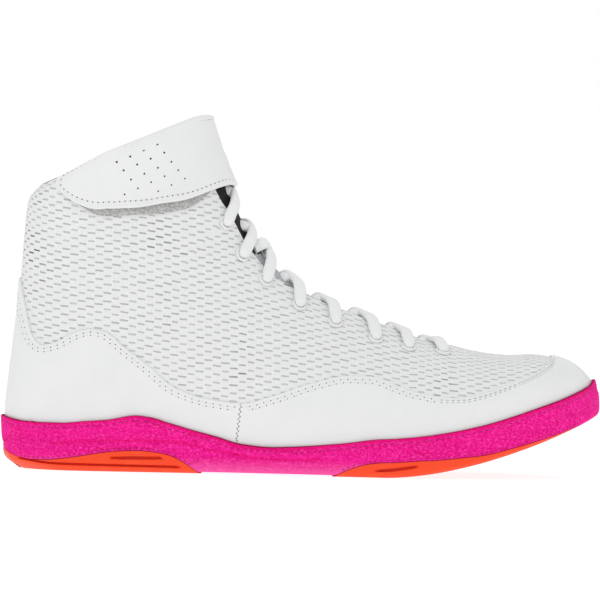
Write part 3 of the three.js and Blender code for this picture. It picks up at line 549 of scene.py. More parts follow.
# The two hole colours paint each dash grey to near black: the backing seen through the mesh, with painted
# shade inside the holes.
meshFabric = {"white": (0.865, 0.870, 0.872, 1), "fuzz": (0.74, 0.745, 0.75, 1), "roughness": 0.75,
              "paleHoleShade": (0.42, 0.425, 0.43, 1), "darkHoleShade": (0.06, 0.06, 0.065, 1),
              "pitch": 0.0082, "row": 0.00197, "dash": 0.0036, "high": 0.00078}
leather = {"white": (0.865, 0.872, 0.872, 1), "shade": (0.79, 0.797, 0.80, 1), "roughness": 0.42}
# Besides the nap's own colours, pale also paints the floor's light near the bottom, band paints shade in the
# creases and along the top edge, and edge is the painted shadow line at the top edge.
suede = {"pink": (1.0, 0.012, 0.340, 1), "deep": (0.70, 0.002, 0.175, 1), "pale": (1.0, 0.165, 0.48, 1),
         "edge": (0.16, 0.0, 0.025, 1), "shadeBand": (0.80, 0.0, 0.135, 1), "roughness": 0.95}
# The deep colour is painted shade, put in the grooves.
rubber = {"orange": (1.0, 0.066, 0.012, 1), "scuffed": (1.0, 0.16, 0.045, 1), "deep": (0.62, 0.010, 0.004, 1),
          "roughness": 0.5}
cloth = {"loop": (0.62, 0.625, 0.61, 1), "loopShade": (0.36, 0.365, 0.355, 1), "lace": (0.90, 0.905, 0.91, 1),
         "laceShade": (0.60, 0.605, 0.61, 1)}


def meshFinish():
    # Staggered dashes, each a short capsule: its distance is the length beyond a straight core
    n = Nodes("white mesh", meshFabric["roughness"])
    u, v, _ = n.split(n.surface())
    flat = n.join(u, v)
    wander = n.noise(flat, 260.0, 1.0)
    drift = n.noise(flat, 35.0, 1.0)
    line = (v + (drift - 0.5) * 0.0022 + (wander - 0.5) * 0.0003) / meshFabric["row"]
    rowNumber = line.maths("FLOOR")
    stagger = (rowNumber * 0.5).maths("FRACT")
    cell = u / meshFabric["pitch"] + stagger + (wander - 0.5) * 0.10
    cellNumber = cell.maths("FLOOR")
    mark = n.add("ShaderNodeTexWhiteNoise", {"noise_dimensions": "2D"},
                 {"Vector": n.join(rowNumber, cellNumber)}, "Value")
    beyond = (abs(cell.maths("FRACT") - 0.5) * meshFabric["pitch"]
              - (meshFabric["dash"] - meshFabric["high"]) / 2 * (0.8 + 0.4 * mark)).maths("MAXIMUM", 0)
    across = (line.maths("FRACT") - 0.5) * meshFabric["row"] + (cell.maths("FRACT") - 0.5) * -0.0004
    far = (beyond * beyond + across * across) ** 0.5
    hole = 1 - far.step(meshFabric["high"] * 0.18, meshFabric["high"] * 0.62)
    patch = n.noise(n.place(), 30.0, 2.0).step(0.54, 0.70)
    dark = (patch * (0.35 + 0.65 * mark)).maths("MINIMUM", 1)
    grain = n.noise(n.place(), 900.0, 2.0)
    tone = n.blendColour(grain.step(0.3, 0.8) * 0.35, meshFabric["white"], meshFabric["fuzz"])
    # Each dash is painted grey to near black, partly the backing seen through the hole and partly painted
    # shade inside it; the darker patches fall at random.
    colour = n.blendColour(hole * (0.45 + 0.35 * mark + 0.2 * dark), tone,
                           n.blendColour(dark, meshFabric["paleHoleShade"], meshFabric["darkHoleShade"]))
    height = (1 - hole) * 0.7 + grain * 0.12 + n.noise(n.place(), 320.0, 2.0) * 0.5
    return n.paint(colour, height, 0.0005, 0.8)


def leatherFinish():
    n = Nodes("white leather", leather["roughness"], 0.04)
    place = n.place()
    pores = n.noise(place, 1500.0, 2.0)
    waves = n.noise(place, 90.0, 3.0)
    colour = n.blendColour(waves.step(0.35, 0.75) * 0.25, leather["white"], leather["shade"])
    return n.paint(colour, pores * 0.35 + waves * 0.65, 0.00035, 0.22, 0.38 + waves * 0.14)


def suedeFinish():
    # A nap of short strokes, paler where it is brushed; painted floor light makes it paler near the bottom,
    # under the arch, and painted shade darkens it in the creases and along its top edge
    n = Nodes("pink suede", suede["roughness"])
    n.shader.inputs["Specular IOR Level"].default_value = 0.12
    n.shader.inputs["Sheen Weight"].default_value = 0.03
    n.shader.inputs["Sheen Roughness"].default_value = 0.6
    n.shader.inputs["Sheen Tint"].default_value = (1.0, 0.45, 0.75, 1)
    place = n.place()
    x, y, z = n.split(place)
    fine = n.noise(n.join(x * 0.8, y * 0.8, z * 1.1), 1000.0, 2.0, 0.8)
    brushed = n.noise(n.join(x * 0.55, y * 0.55, z * 1.5), 130.0, 3.0, 0.6)
    edge, creaseShade = n.attribute("fromEdge"), n.attribute("creaseShade")
    # Painted light: paler near the floor, for the light the floor throws up under the arch.
    under = 1 - z.step(0.0002, 0.0085)
    napped = fine.step(0.33, 0.56) * 0.80 + brushed.step(0.40, 0.62) * 0.20
    colour = n.blendColour(napped, suede["deep"], suede["pink"])
    colour = n.blendColour(fine.step(0.52, 0.72) * 0.42 + under * 0.55, colour, suede["pale"])
    # Painted shade: darker in the crease troughs.
    colour = n.blendColour(creaseShade.step(0.05, 0.5) * 0.55, colour, suede["shadeBand"])
    # Painted shadow: a darker band and a near-black line along the lip's top edge.
    colour = n.blendColour((1 - edge.step(1.1, 2.1)) * 0.55, colour, suede["shadeBand"])
    colour = n.blendColour((1 - edge.step(0.1, 0.6)) * 0.80, colour, suede["edge"])
    return n.paint(colour, fine * 0.7 + brushed * 0.3, 0.0007, 0.6)


def rubberFinish():
    n = Nodes("orange rubber", rubber["roughness"], 0.04)
    n.shader.inputs["Specular IOR Level"].default_value = 0.3
    place = n.place()
    x, y, _ = n.split(place)
    tread, slot = n.attribute("ground"), n.attribute("slot")
    ribs = ((x + y * 0.5) * 1500.0).maths("SINE").maths("MAXIMUM", ((x - y * 0.5) * 1500.0).maths("SINE"))
    scuffs = n.noise(place, 160.0, 4.0, 0.6)
    fine = n.noise(place, 1700.0, 2.0)
    wearAndShade = n.blendColour(scuffs.step(0.45, 0.8) * 0.25, rubber["orange"], rubber["scuffed"])
    # Painted shade: the grooves darken towards the deep colour by their depth.
    colour = n.blendColour(slot * 0.9, wearAndShade, rubber["deep"])
    height = scuffs * 0.4 + fine * 0.3 + ribs.step(-0.2, 0.4) * tread * 3.0
    return n.paint(colour, height, 0.0004, 0.5, 0.42 + scuffs * 0.2)


def wovenFinish(name, colour, shade, scale=1600.0):
    n = Nodes(name, 0.9)
    place = n.place()
    x, y, z = n.split(place)
    weave = ((x + z) * scale * 2).maths("SINE") * ((x - z + y) * scale * 2).maths("SINE")
    fuzz = n.noise(place, scale, 2.0)
    mixed = n.blendColour((weave * 0.25 + fuzz * 0.6).maths("MAXIMUM", 0), colour, shade)
    return n.paint(mixed, weave * 0.4 + fuzz * 0.6, 0.0004, 0.6)


def pileFinish():
    n = Nodes("loop pile", 1.0)
    pile = n.noise(n.place(), 850.0, 3.0, 0.7)
    patch = n.noise(n.place(), 120.0, 2.0)
    shade = n.blendColour(pile.step(0.40, 0.62) * 0.8 + patch * 0.2, cloth["loopShade"], cloth["loop"])
    return n.paint(shade, pile, 0.0006, 0.7)


def laceFinish():
    # A flat braid: two sets of slanting strands over one another
    n = Nodes("lace", 0.8)
    u, v, _ = n.split(n.surface())
    one = (u * 3600.0 + v * 2600.0).maths("SINE")
    two = (u * 3600.0 - v * 2600.0).maths("SINE")
    braid = one.maths("MAXIMUM", two)
    fuzz = n.noise(n.place(), 2200.0, 2.0)
    # Painted shade in the valleys between the strands, with random fuzz.
    wearAndShade = (1 - braid.step(-0.2, 0.9)) * 0.07 + fuzz * 0.05
    colour = n.blendColour(wearAndShade, cloth["lace"], cloth["laceShade"])
    return n.paint(colour, braid * 0.6 + fuzz * 0.4, 0.0003, 0.22)


def plainFinish(name, colour, roughness=0.6):
    n = Nodes(name, roughness)
    fuzz = n.noise(n.place(), 1800.0, 1.0)
    shade = tuple(c * 0.6 for c in colour[:3]) + (1,)
    return n.paint(n.blendColour(fuzz * 0.15, colour, shade), fuzz, 0.0002, 0.4)


finishes = {
    "mesh": meshFinish(),
    "leather": leatherFinish(),
    "suede": suedeFinish(),
    "rubber": rubberFinish(),
    "lining": wovenFinish("dark lining", (0.055, 0.056, 0.060, 1), (0.02, 0.02, 0.022, 1)),
    "footbed": wovenFinish("footbed cloth", (0.30, 0.31, 0.33, 1), (0.12, 0.12, 0.13, 1)),
    "black": wovenFinish("black knit", (0.018, 0.018, 0.020, 1), (0.005, 0.005, 0.006, 1)),
    "tongue": wovenFinish("grey knit", (0.60, 0.61, 0.62, 1), (0.30, 0.30, 0.32, 1), 1100.0),
    "loop": pileFinish(),
    "lace": laceFinish(),
    "thread": plainFinish("white thread", (0.78, 0.785, 0.79, 1)),
    "pinkThread": plainFinish("deep pink thread", (0.40, 0.0, 0.10, 1), 0.8),
    "line": plainFinish("pressed line", (0.40, 0.405, 0.41, 1), 0.8),
    # Painted shade: near black for the shade inside the needle holes.
    "needle": plainFinish("painted shade in needle hole", (0.085, 0.085, 0.09, 1), 0.9),
    # The cut suede edge, painted dark pink partly for its own colour and partly as the shadow line along the
    # suede's top.
    "shadedPinkEdge": plainFinish("cut suede edge in painted shadow", (0.42, 0.002, 0.10, 1), 0.9),
    # Painted shade: near black for the shade inside the strap's punched holes.
    "hole": plainFinish("painted shade in punched hole", (0.03, 0.03, 0.033, 1), 0.9),
    "ring": plainFinish("eyelet", (0.87, 0.875, 0.88, 1), 0.35),
}
print("finishes ready")


# Edges in the side view, as heights over the bed

overlay = {"wall": 1.0, "round": 2.0, "seamPitch": 2.3, "seamThrow": 0.9, "seamLean": 0.1, "seamGap": 0.12}
overlayRows = [
    (0.026, 0.52), (0.031, 0.491), (0.038, 0.43), (0.046, 0.369), (0.053, 0.328), (0.069, 0.303),
    (0.093, 0.314), (0.121, 0.342), (0.149, 0.355), (0.173, 0.348), (0.206, 0.302), (0.250, 0.241),
    (0.293, 0.180), (0.347, 0.150), (0.400, 0.142), (0.453, 0.169), (0.527, 0.221), (0.581, 0.243),
    (0.613, 0.243), (0.692, 0.192), (0.741, 0.165), (0.789, 0.151), (0.836, 0.155), (0.884, 0.162),
    (0.916, 0.176), (0.924, 0.22), (0.930, 0.30),
]
overlayEdge = edgeFrom(overlayRows, shoe["collarRise"])
wrapRows = [
    (0, 0.946), (0.022, 0.823), (0.062, 0.721), (0.102, 0.701), (0.142, 0.769), (0.183, 0.850), (0.229, 1),
    (0.253, 0.952), (0.283, 0.789), (0.324, 0.578), (0.364, 0.408), (0.405, 0.224), (0.445, 0.184),
    (0.485, 0.238), (0.565, 0.408), (0.645, 0.599), (0.726, 0.626), (0.806, 0.633), (0.886, 0.653),
    (0.945, 0.612), (0.979, 0.599), (0.993, 0.782),
]
wrapEdge = edgeFrom(wrapRows, sole["wrapRise"])
heelPodRows = [
    (-0.03, 1.3), (0.011, 0.92), (0.023, 0.656), (0.043, 0.448), (0.063, 0.384), (0.083, 0.392),
    (0.123, 0.504), (0.164, 0.68), (0.204, 0.792), (0.234, 0.816), (0.264, 0.76), (0.284, 0.672),
    (0.305, 0.464), (0.318, 0.28), (0.340, -0.1),
]
forePodRows = [
    (0.555, -0.1), (0.586, 0.368), (0.606, 0.579), (0.626, 0.695), (0.646, 0.758), (0.686, 0.758),
    (0.726, 0.663), (0.767, 0.537), (0.807, 0.379), (0.847, 0.305), (0.887, 0.232), (0.927, 0.147),
    (0.947, 0.105), (0.965, -0.1),
]
podStacks = {"heel": sole["heelStack"], "fore": sole["ballStack"]}
podRows = {"heel": heelPodRows, "fore": forePodRows}
podEdges = {name: edgeFrom(rows, podStacks[name]) for name, rows in podRows.items()}
podEnds = {name: (rows[0][0], rows[-1][0]) for name, rows in podRows.items()}


# Upper

eyelet = {"hole": 4.6, "ring": 7.4, "rise": 0.8, "seat": 0.55, "cut": 1.8}
eyeletRows = [(0.3715, 0.690), (0.3990, 0.596), (0.4390, 0.523), (0.4965, 0.453), (0.5570, 0.406),
              (0.6250, 0.361), (0.6805, 0.332), (0.7380, 0.304)]
eyeletX = np.array(eyeletRows)[:, 0] * length
eyeletRow, eyeletUp = placeAt(eyeletX, bedHeight(eyeletX) + np.array(eyeletRows)[:, 1] * shoe["collarRise"])


knitLevel = curveThrough([0, 110, 190, 240, 330], [0, 17.6, 28, 36.5, 46])


def patternPlaces(sheet, rows, steps):
    # Lays the knit on the surface: from a line half way up the shoe, the level and the upright part of every
    # step up or down a section are added, so its marks keep their size round the heel and over the vamp
    def level(normal, side):
        flat = np.clip(1 - normal[..., 2] ** 2, 0, 1) ** 1.5
        aim = np.stack([np.abs(normal[..., 1]) + 0.06, -side * normal[..., 0] * flat, 0 * flat], -1)
        aim = aim - normal * np.sum(aim * normal, -1, keepdims=True)
        return unit(aim)
    uv = np.zeros((len(sheet["points"]), 2))
    row, share = np.meshgrid(rows, steps, indexing="ij")
    up = share * throatReach(row)
    half = int(len(steps) * 0.4)
    line = np.interp(sheet["row"], rows, np.arange(len(rows)))
    i = np.clip(line.astype(int), 0, len(rows) - 2)
    j = sheet["share"] * (len(steps) - 1)
    k = np.clip(j.astype(int), 0, len(steps) - 2)
    a, b = line - i, j - k
    for side in (-1, 1):
        points = formAt(row, up, side)
        normals = normalAt(row, up, side)
        along = level(normals, side)
        axes = (along, -side * np.cross(normals, along))
        stepUp, stepAlong = np.diff(points, axis=1), np.diff(points[:, half], axis=0)
        sideOf = sheet["side"] * side >= 0
        fields = []
        for axis in axes:
            climb = np.cumsum(np.sum(stepUp * (axis[:, 1:] + axis[:, :-1]) / 2, -1), axis=1)
            climb = np.concatenate([np.zeros((len(rows), 1)), climb], axis=1)
            run = np.cumsum(np.sum(stepAlong * (axis[1:, half] + axis[:-1, half]) / 2, -1))
            run = np.concatenate([[0], run])
            fields.append(run[:, None] + climb - climb[:, half:half + 1])
        u, v = fields
        u = u - u[np.argmin(np.abs(rows - heelRow)), 0]
        v = v - v[np.argmin(np.abs(rows - seamRow)), 0]
        for index, field in enumerate((u, v + knitLevel(u))):
            value = (field[i, k] * (1 - a) * (1 - b) + field[i + 1, k] * a * (1 - b)
                     + field[i, k + 1] * (1 - a) * b + field[i + 1, k + 1] * a * b)
            uv[:, index] = np.where(sideOf, value, uv[:, index])
    return uv


def rowsBetween(start, end, count, *kept):
    rows = np.linspace(start, end, count)
    for stop in kept:
        if start < stop < end:
            rows[1 + np.argmin(np.abs(rows[1:-1] - stop))] = stop
    return rows


def makeUpper():
    settings = {"lines": 250, "steps": 56, "darkAbove": 122.0}
    lines = rowsBetween(0, collarRow, settings["lines"], throatRow, heelRow)
    shares = np.linspace(0, 1, settings["steps"])
    sheet = smoothSheet(lines, shares, lambda row, share, side: (row, share * throatReach(row)))
    uv = patternPlaces(sheet, lines, shares)
    centres = np.concatenate([formAt(eyeletRow, eyeletUp, side) for side in (-1, 1)])
    near = np.min(np.linalg.norm(sheet["points"][:, None] - centres[None], axis=-1), axis=1) < eyelet["cut"]
    faces = sheet["faces"][~near[sheet["faces"]].any(axis=1)]
    inner = np.full(len(sheet["points"]), -shoe["upperWall"])
    points, faces, kinds, both = wallOf(sheet["points"], sheet["normals"], faces, inner, inner * 0, uv)
    low = points[:, 2][faces].mean(axis=1) < settings["darkAbove"]
    kinds = np.where((kinds == 2) & low, 3, kinds)
    cloths = [finishes[key] for key in ("mesh", "lining", "black", "thread")]
    finishPiece(toObject("upper_mesh_shell", points, faces, cloths, both, kinds=kinds), "mesh", "upper")


def fromLine(points, edge, low, high):
    # How far each point is from a side-view edge, in the side view
    x = np.linspace(low * length, high * length, 700)
    line = np.stack([x, bedHeight(x) + edge(x)], -1)
    far = [np.min(np.linalg.norm(part[:, None, [0, 2]] - line[None], axis=-1), axis=1)
           for part in np.array_split(points, 24)]
    return np.concatenate(far)


def seamAcross(z, turned):
    # The zigzag seam: where it is along the shoe at a height
    low = bedHeight(shoe["seamAt"] * length)
    wave = np.abs((z / overlay["seamPitch"]) % 1 - 0.5) * 4 - 1
    lean = overlay["seamLean"] * (z - low)
    return shoe["seamAt"] * length + lean + wave * overlay["seamThrow"] / 2 + turned * overlay["seamGap"]


def seamRows(share, turned):
    # The row of each step up the seam, found by walking to it
    row = np.full(share.shape, seamRow)
    for _ in range(14):
        point = formAt(row, share * upUnder(row, overlayEdge), -1)
        row = row + (point[..., 0] - seamAcross(point[..., 2], turned)) / 24
    return row


def makeOverlays():
    clearance = shoe["clearance"]
    spans = {"heel_overlay_leather": (seamRow, tabRow, 120, "rear_overlay", -1),
             "toe_overlay_leather": (0.0, seamRow, 130, "front_overlay", 1)}
    shares = sharesUp(84)
    for name, (start, end, count, node, turned) in spans.items():
        seam = seamRows(shares, turned)
        near = seamRow + np.linspace(0, 0.5, 12) * -turned
        cap = capRow + np.linspace(-0.7, 0.7, 45)
        lines = np.concatenate([rowsBetween(start, end, count, heelRow), near, cap])
        lines = np.unique(np.round(lines[(lines >= start) & (lines <= end)], 5))

        def at(row, share, side):
            close = ease(1 - np.abs(row - seamRow) / 0.9)
            moved = row + (np.interp(share, shares, seam) - seamRow) * close
            return moved, share * upUnder(moved, overlayEdge)
        sheet = smoothSheet(lines, shares, at)
        away = fromLine(sheet["points"], overlayEdge, overlayRows[0][0], overlayRows[-1][0])
        fromSeam = np.abs(sheet["line"] - seamRow) * 20
        lip = rounded(np.minimum(away, fromSeam + 1.2), overlay["round"])
        start = 0.34 - 0.26 * ease((sheet["points"][:, 0] / length - 0.80) / 0.08)
        outer = clearance * 0.6 + (clearance * 0.4 + overlay["wall"]) * mix(start, 1, lip)
        points, faces, _, _ = wallOf(sheet["points"], sheet["normals"], sheet["faces"],
                                     np.full(len(outer), clearance * 0.3), outer)
        finishPiece(toObject(name, points, faces, [finishes["leather"]]), "leather", node)


makeUpper()
makeOverlays()
print("upper and overlays ready")


# Sole

lipInner = shoe["clearance"] + overlay["wall"] + sole["lipGap"]
flare = lipInner + sole["wrapWall"] + sole["bulge"]


def featherFrame(row, side):
    # A point of the form's lower edge, and the level direction away from the shoe there
    step = 0.02
    point = formAt(row, 0 * row, side)
    before, after = (formAt(np.clip(row + move, 0, heelRow), 0 * row, side) for move in (-step, step))
    along = after - before
    out = unit(np.stack([-along[..., 1], along[..., 0], 0 * row], -1) * -side)
    out[row <= 0] = (1, 0, 0)
    out[row >= heelRow] = (-1, 0, 0)
    return point, out


def sideCurve(x, top, q):
    # A quadratic spline from the ground edge (0) to the rim (1), over five guide points
    bottom, bed = soleHeight(x), bedHeight(x)
    heel = 1 - ease(x / (0.13 * length))
    edge, bevel = sole["edge"], sole["heelBevel"]
    reach = [flare - edge - heel * bevel * 1.1, flare - edge * 0.35 - heel * bevel * 0.45,
             flare + sole["bulge"] * 0.4 - heel * 0.6, flare + sole["bulge"] * 0.5, flare + 0 * x]
    height = [bottom, bottom + edge * 0.4 + heel * bevel * 0.3, bottom + edge + heel * bevel * 0.6,
              mix(bottom, bed, 0.85), top]
    knots = np.array([0, 0, 0, 1, 2, 3, 3, 3])
    t = np.clip(q, 0, 1) * 3
    part = np.clip(t.astype(int), 0, 2)
    weights = np.zeros((5,) + t.shape)
    for p in range(3):
        k = p + 2
        before, start, end, after = knots[k - 1], knots[k], knots[k + 1], knots[k + 2]
        inside = part == p
        left = (end - t) ** 2 / ((end - before) * (end - start))
        right = (t - start) ** 2 / ((after - start) * (end - start))
        weights[p] += inside * left
        weights[p + 1] += inside * (1 - left - right)
        weights[p + 2] += inside * right
    return sum(w * r for w, r in zip(weights, reach)), sum(w * h for w, h in zip(weights, height))


def lowerEdge(x):
    # The midsole's underside: above the pods, and just off the ground at the arch
    low = soleHeight(x) + 0 * x
    arch = ease((x / length - 0.3) / 0.04) * ease((0.6 - x / length) / 0.04) * sole["archRelief"]
    for name, edge in podEdges.items():
        start, end = podEnds[name]
        inside = (x > start * length) & (x < end * length)
        low = np.maximum(low, np.where(inside, soleHeight(x) + edge(x) + shoe["clearance"], -1))
    return np.maximum(low, soleHeight(x) + arch)


def wallAt(row, side, z):
    # How far up the block's side a height is
    point = formAt(row, 0 * row, side)
    x, top = point[..., 0], point[..., 2] + sole["rimRise"]
    return halving(lambda q: sideCurve(x, top, q)[1] > z(x), np.zeros(row.shape), np.ones(row.shape))


soleLines = rowsBetween(0, heelRow, sole["lines"], seamRow)
centreStops = [rowWith("baseAlong", share * length, 0, heelRow) for share in (0.925, 0.075)]


def centreAt(row, z):
    s = sectionAt(np.clip(row, *centreStops))
    point = np.stack([s["baseAlong"], s["middle"], 0 * row], -1)
    point[..., 2] = z(point[..., 0])
    return point


def sideStrip(rows, side, low, high, count, grooves=None):
    # Points up the block's side between two heights, row by row
    low = wallAt(rows, side, low)
    high = np.ones(rows.shape) if high is None else wallAt(rows, side, high)
    share = np.linspace(0, 1, count)
    q = low[:, None] + (high - low)[:, None] * share[None]
    point, out = featherFrame(rows, side)
    x = np.repeat(point[:, :1], count, axis=1)
    top = np.repeat(point[:, 2:] + sole["rimRise"], count, axis=1)
    reach, z = sideCurve(x, top, q)
    depth = 0 * z if grooves is None else grooves(x, z)
    placed = point[:, None] + out[:, None] * (reach - depth)[..., None]
    placed[..., 2] = z
    return placed, depth


def ringSolid(name, ring, materials, slot, *nodes, sharp=40, shares=None):
    # A closed tube of rings, with its two ends filled from the middle of each
    rings, count = ring.shape[:2]
    points = ring.reshape(-1, 3)
    faces = gridFaces(rings, count, closed=True)
    caps, middles = [], []
    for k, first in enumerate((0, (rings - 1) * count)):
        middles.append(points[first:first + count].mean(axis=0))
        around = np.arange(count)
        fan = np.stack([first + around, first + (around + 1) % count, np.full(count, len(points) + k)], -1)
        caps.append(fan if k == 0 else fan[:, ::-1])
    points = np.concatenate([points, np.array(middles)])
    faces = np.concatenate([faces, *caps])
    names = list(shares or {})
    fields = [np.concatenate([shares[key].reshape(-1), [0, 0]])[:, None] for key in names]
    points, faces, fields = weld(points, faces, fields, near=0.004)
    shares = dict(zip(names, fields))
    piece = toObject(name, points, outward(points, faces), materials, shares=shares, sharp=sharp)
    finishPiece(piece, slot, *nodes)


grooveLines = {  # places along the shoe and shares of the stack, then half the width and whether it narrows
    "heel": [([(0.037, 0.43), (0.10, 0.27), (0.2, 0.25), (0.305, 0.23)], 0.28, False),
             ([(0.186, 0.53), (0.276, 0.56)], 0.48, True)],
    "fore": [([(0.628, 0.34), (0.699, 0.50)], 0.48, True)],
}


def makePod(name, node):
    settings = {"sideSteps": 46, "baseSteps": 14, "soft": 0.35, "least": 0.02, "fade": 1.5}
    edge = podEdges[name]
    start, end = podEnds[name]
    base = sectionAt(soleLines)["baseAlong"] / length

    def topOf(x):
        return soleHeight(x) + np.maximum(edge(x), settings["least"])

    def grooves(x, z):
        depth = 0 * x
        for line, half, narrows in grooveLines[name]:
            line = np.array(line) * (length, podStacks[name])
            height = curveThrough(line[:, 0], line[:, 1])(x) + soleHeight(x)
            way = np.clip((x - line[0, 0]) / (line[-1, 0] - line[0, 0]), 0, 1)
            half = half * np.sin(way * math.pi) ** 0.3 if narrows else half
            ends = ease((x - line[0, 0]) / settings["fade"]) * ease((line[-1, 0] - x) / settings["fade"])
            near = np.clip(1 - (np.abs(z - height) - half) / settings["soft"], 0, 1)
            depth = np.maximum(depth, sole["grooveDepth"] * ends * near)
        return depth

    rows = soleLines[(base > start) & (base < end)]
    middle = centreAt(rows, soleHeight)
    share = np.linspace(0, 1, settings["baseSteps"])[1:-1]
    sides = []
    for side in (-1, 1):
        strip, depth = sideStrip(rows, side, soleHeight, topOf, settings["sideSteps"], grooves)
        base = middle[:, None] + (strip[:, :1] - middle[:, None]) * share[None, :, None]
        base[..., 2] = soleHeight(base[..., 0])
        sides.append((base, strip, depth))
    (outBase, outStrip, outDepth), (inBase, inStrip, inDepth) = sides
    roof = centreAt(rows, topOf)
    ring = np.concatenate([middle[:, None], outBase, outStrip, roof[:, None], inStrip[:, ::-1],
                           inBase[:, ::-1]], axis=1)
    first, top, last = (np.ones((len(rows), count)) for count in (1 + len(share), 1, len(share)))
    ground = np.concatenate([first, 0 * outDepth, 0 * top, 0 * inDepth, last], axis=1)
    # The groove depth also goes to the rubber's colour, where it paints shade in the grooves.
    slot = np.concatenate([0 * first, outDepth, 0 * top, inDepth[:, ::-1], 0 * last], axis=1)
    ringSolid(name + "_pod_rubber", ring, [finishes["rubber"]], "rubber", node,
              shares={"slot": slot / sole["grooveDepth"], "ground": ground})


suedeCreases = [  # places as x and height, in millimetres from the heel's back and the floor, then the depth
    ([(22, 12.6), (32, 13.5), (52, 15.1), (76, 15.6), (86, 15.4), (96, 13.2), (105, 11), (116, 9.6),
      (124, 7.8), (141, 7.6), (162, 8.3)], 0.5),
    ([(40, 9.2), (54, 11.6), (70, 12.0), (84, 10.4)], 0.2),
    ([(118, 5.4), (136, 4.2), (158, 4.4), (170, 6.0)], 0.25),
    ([(186, 14.2), (206, 12.4), (222, 14.6)], 0.25),
]


def creases(x, z):
    # Shallow troughs, each a bell across its line and faded out at its ends
    depth = 0 * x
    for line, deep in suedeCreases:
        line = np.array(line)
        height = curveThrough(line[:, 0], line[:, 1])(x)
        ends = ease((x - line[0, 0]) / 10) * ease((line[-1, 0] - x) / 10)
        trough = np.exp(-((z - height) / 0.8) ** 2)
        ridge = np.exp(-((z - height - 1.8) / 1.2) ** 2)
        depth = depth + deep * ends * (trough - 0.5 * ridge)
    return depth


def swellAt(row, over):
    # The block's side swells where the lip meets it, and the swell fades above it and behind the heel
    behind = np.where(row <= heelRow, 1, ease((heelRow + 1.2 - row) / 1.2))
    return sole["bulge"] * (1 - ease(over / 4.5)) * behind


def makeMidsole():
    settings = {"lipSteps": 22, "sideSteps": 30, "heelLines": 60, "round": 1.4, "rim": 0.15}
    lines = np.concatenate([soleLines, np.linspace(heelRow, tabRow, settings["heelLines"])[1:]])
    lipHigh = upUnder(lines, wrapEdge)
    corner = int(np.sum(lipHigh > 0.999)) - 1
    kept = (lines <= heelRow) | (lipHigh > 0.004)
    lines, lipHigh = lines[kept], lipHigh[kept]
    shares = sharesUp(settings["lipSteps"])
    row, share = np.meshgrid(lines, shares, indexing="ij")
    up = share * lipHigh[:, None]
    grids = []  # each a grid of points, whether it is turned, how far from the edge, its crease depth for the painted crease shade and its kind
    for side in (-1, 1):
        on, normal = formAt(row, up, side), normalAt(row, up, side)
        pressed = creases(on[..., 0], on[..., 2])
        size = np.linalg.norm(np.diff(on, axis=1), axis=-1)
        fromEdge = np.cumsum(size[:, ::-1], axis=1)[:, ::-1]
        fromEdge = np.concatenate([fromEdge, np.zeros((len(lines), 1))], axis=1)
        # Before the corner the lip closes over the toe, and its edge lies up the middle line
        ahead = np.linalg.norm(on[:corner + 1, -1] - on[corner, -1], axis=-1)
        fromEdge[:corner + 1] = np.hypot(fromEdge[:corner + 1], ahead[:, None])
        swell = swellAt(row, on[..., 2] - on[:, :1, 2])
        wall = sole["wrapWall"] * (0.25 + 0.75 * rounded(fromEdge, settings["round"]))
        outer = lipInner + wall + swell - pressed
        outer[corner:, -1] = lipInner + settings["rim"]
        face = on + normal * outer[..., None]
        back = on + normal * lipInner
        turned = side < 0
        rim = np.stack([face[corner:, -1], back[corner:, -1]], axis=1)
        grids += [(face, turned, fromEdge, pressed, 0), (back, not turned, fromEdge, 0 * pressed, 0),
                  (rim, turned, 0 * rim[..., 0], 0 * rim[..., 0], 1)]
        rows = lines[lines <= heelRow]
        strip, trough = sideStrip(rows, side, lowerEdge, None, settings["sideSteps"], creases)
        strip[:, -1] = face[:len(rows), 0]
        below = centreAt(rows, lowerEdge)
        bedEdge = back[:len(rows), 0].copy()
        bedEdge[..., 2] = bedHeight(bedEdge[..., 0])
        bed = centreAt(rows, bedHeight)
        part = np.concatenate([below[:, None], strip], axis=1)
        top = np.stack([back[:len(rows), 0], bedEdge, bed], axis=1)
        trough = np.concatenate([0 * trough[:, :1], trough], axis=1)
        grids += [(part, turned, 0 * trough + 20, trough, 0),
                  (top, not turned, 0 * top[..., 0] + 20, 0 * top[..., 0], 0)]
    starts = np.cumsum([0] + [grid[0].shape[0] * grid[0].shape[1] for grid in grids])
    faces = [gridFaces(*grid[0].shape[:2], grid[1]) + start for grid, start in zip(grids, starts)]
    fields = [np.concatenate([grid[k].reshape(-1) for grid in grids])[:, None] for k in (2, 3)]
    kinds = np.concatenate([np.full(len(part), grid[4]) for grid, part in zip(grids, faces)])
    points = np.concatenate([grid[0].reshape(-1, 3) for grid in grids])
    # The crease depth also goes to the suede's colour, where it paints shade in the troughs.
    points, faces, (edge, creaseShade), kinds = weld(points, np.concatenate(faces), fields, near=0.03, kinds=kinds)
    piece = toObject("midsole_suede_wrap", points, faces, [finishes["suede"], finishes["shadedPinkEdge"]],
                     shares={"fromEdge": edge, "creaseShade": creaseShade}, kinds=kinds)
    finishPiece(piece, "suede", "suede_midsole")


makeMidsole()
makePod("heel", "heel_outsole")
makePod("fore", "forefoot_outsole")
print("sole ready")


# Insole keeps its shape from the frame and gets its cloth
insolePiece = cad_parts["insole"]
insolePiece.data.materials.clear()
insolePiece.data.materials.append(finishes["footbed"])


# Tongue

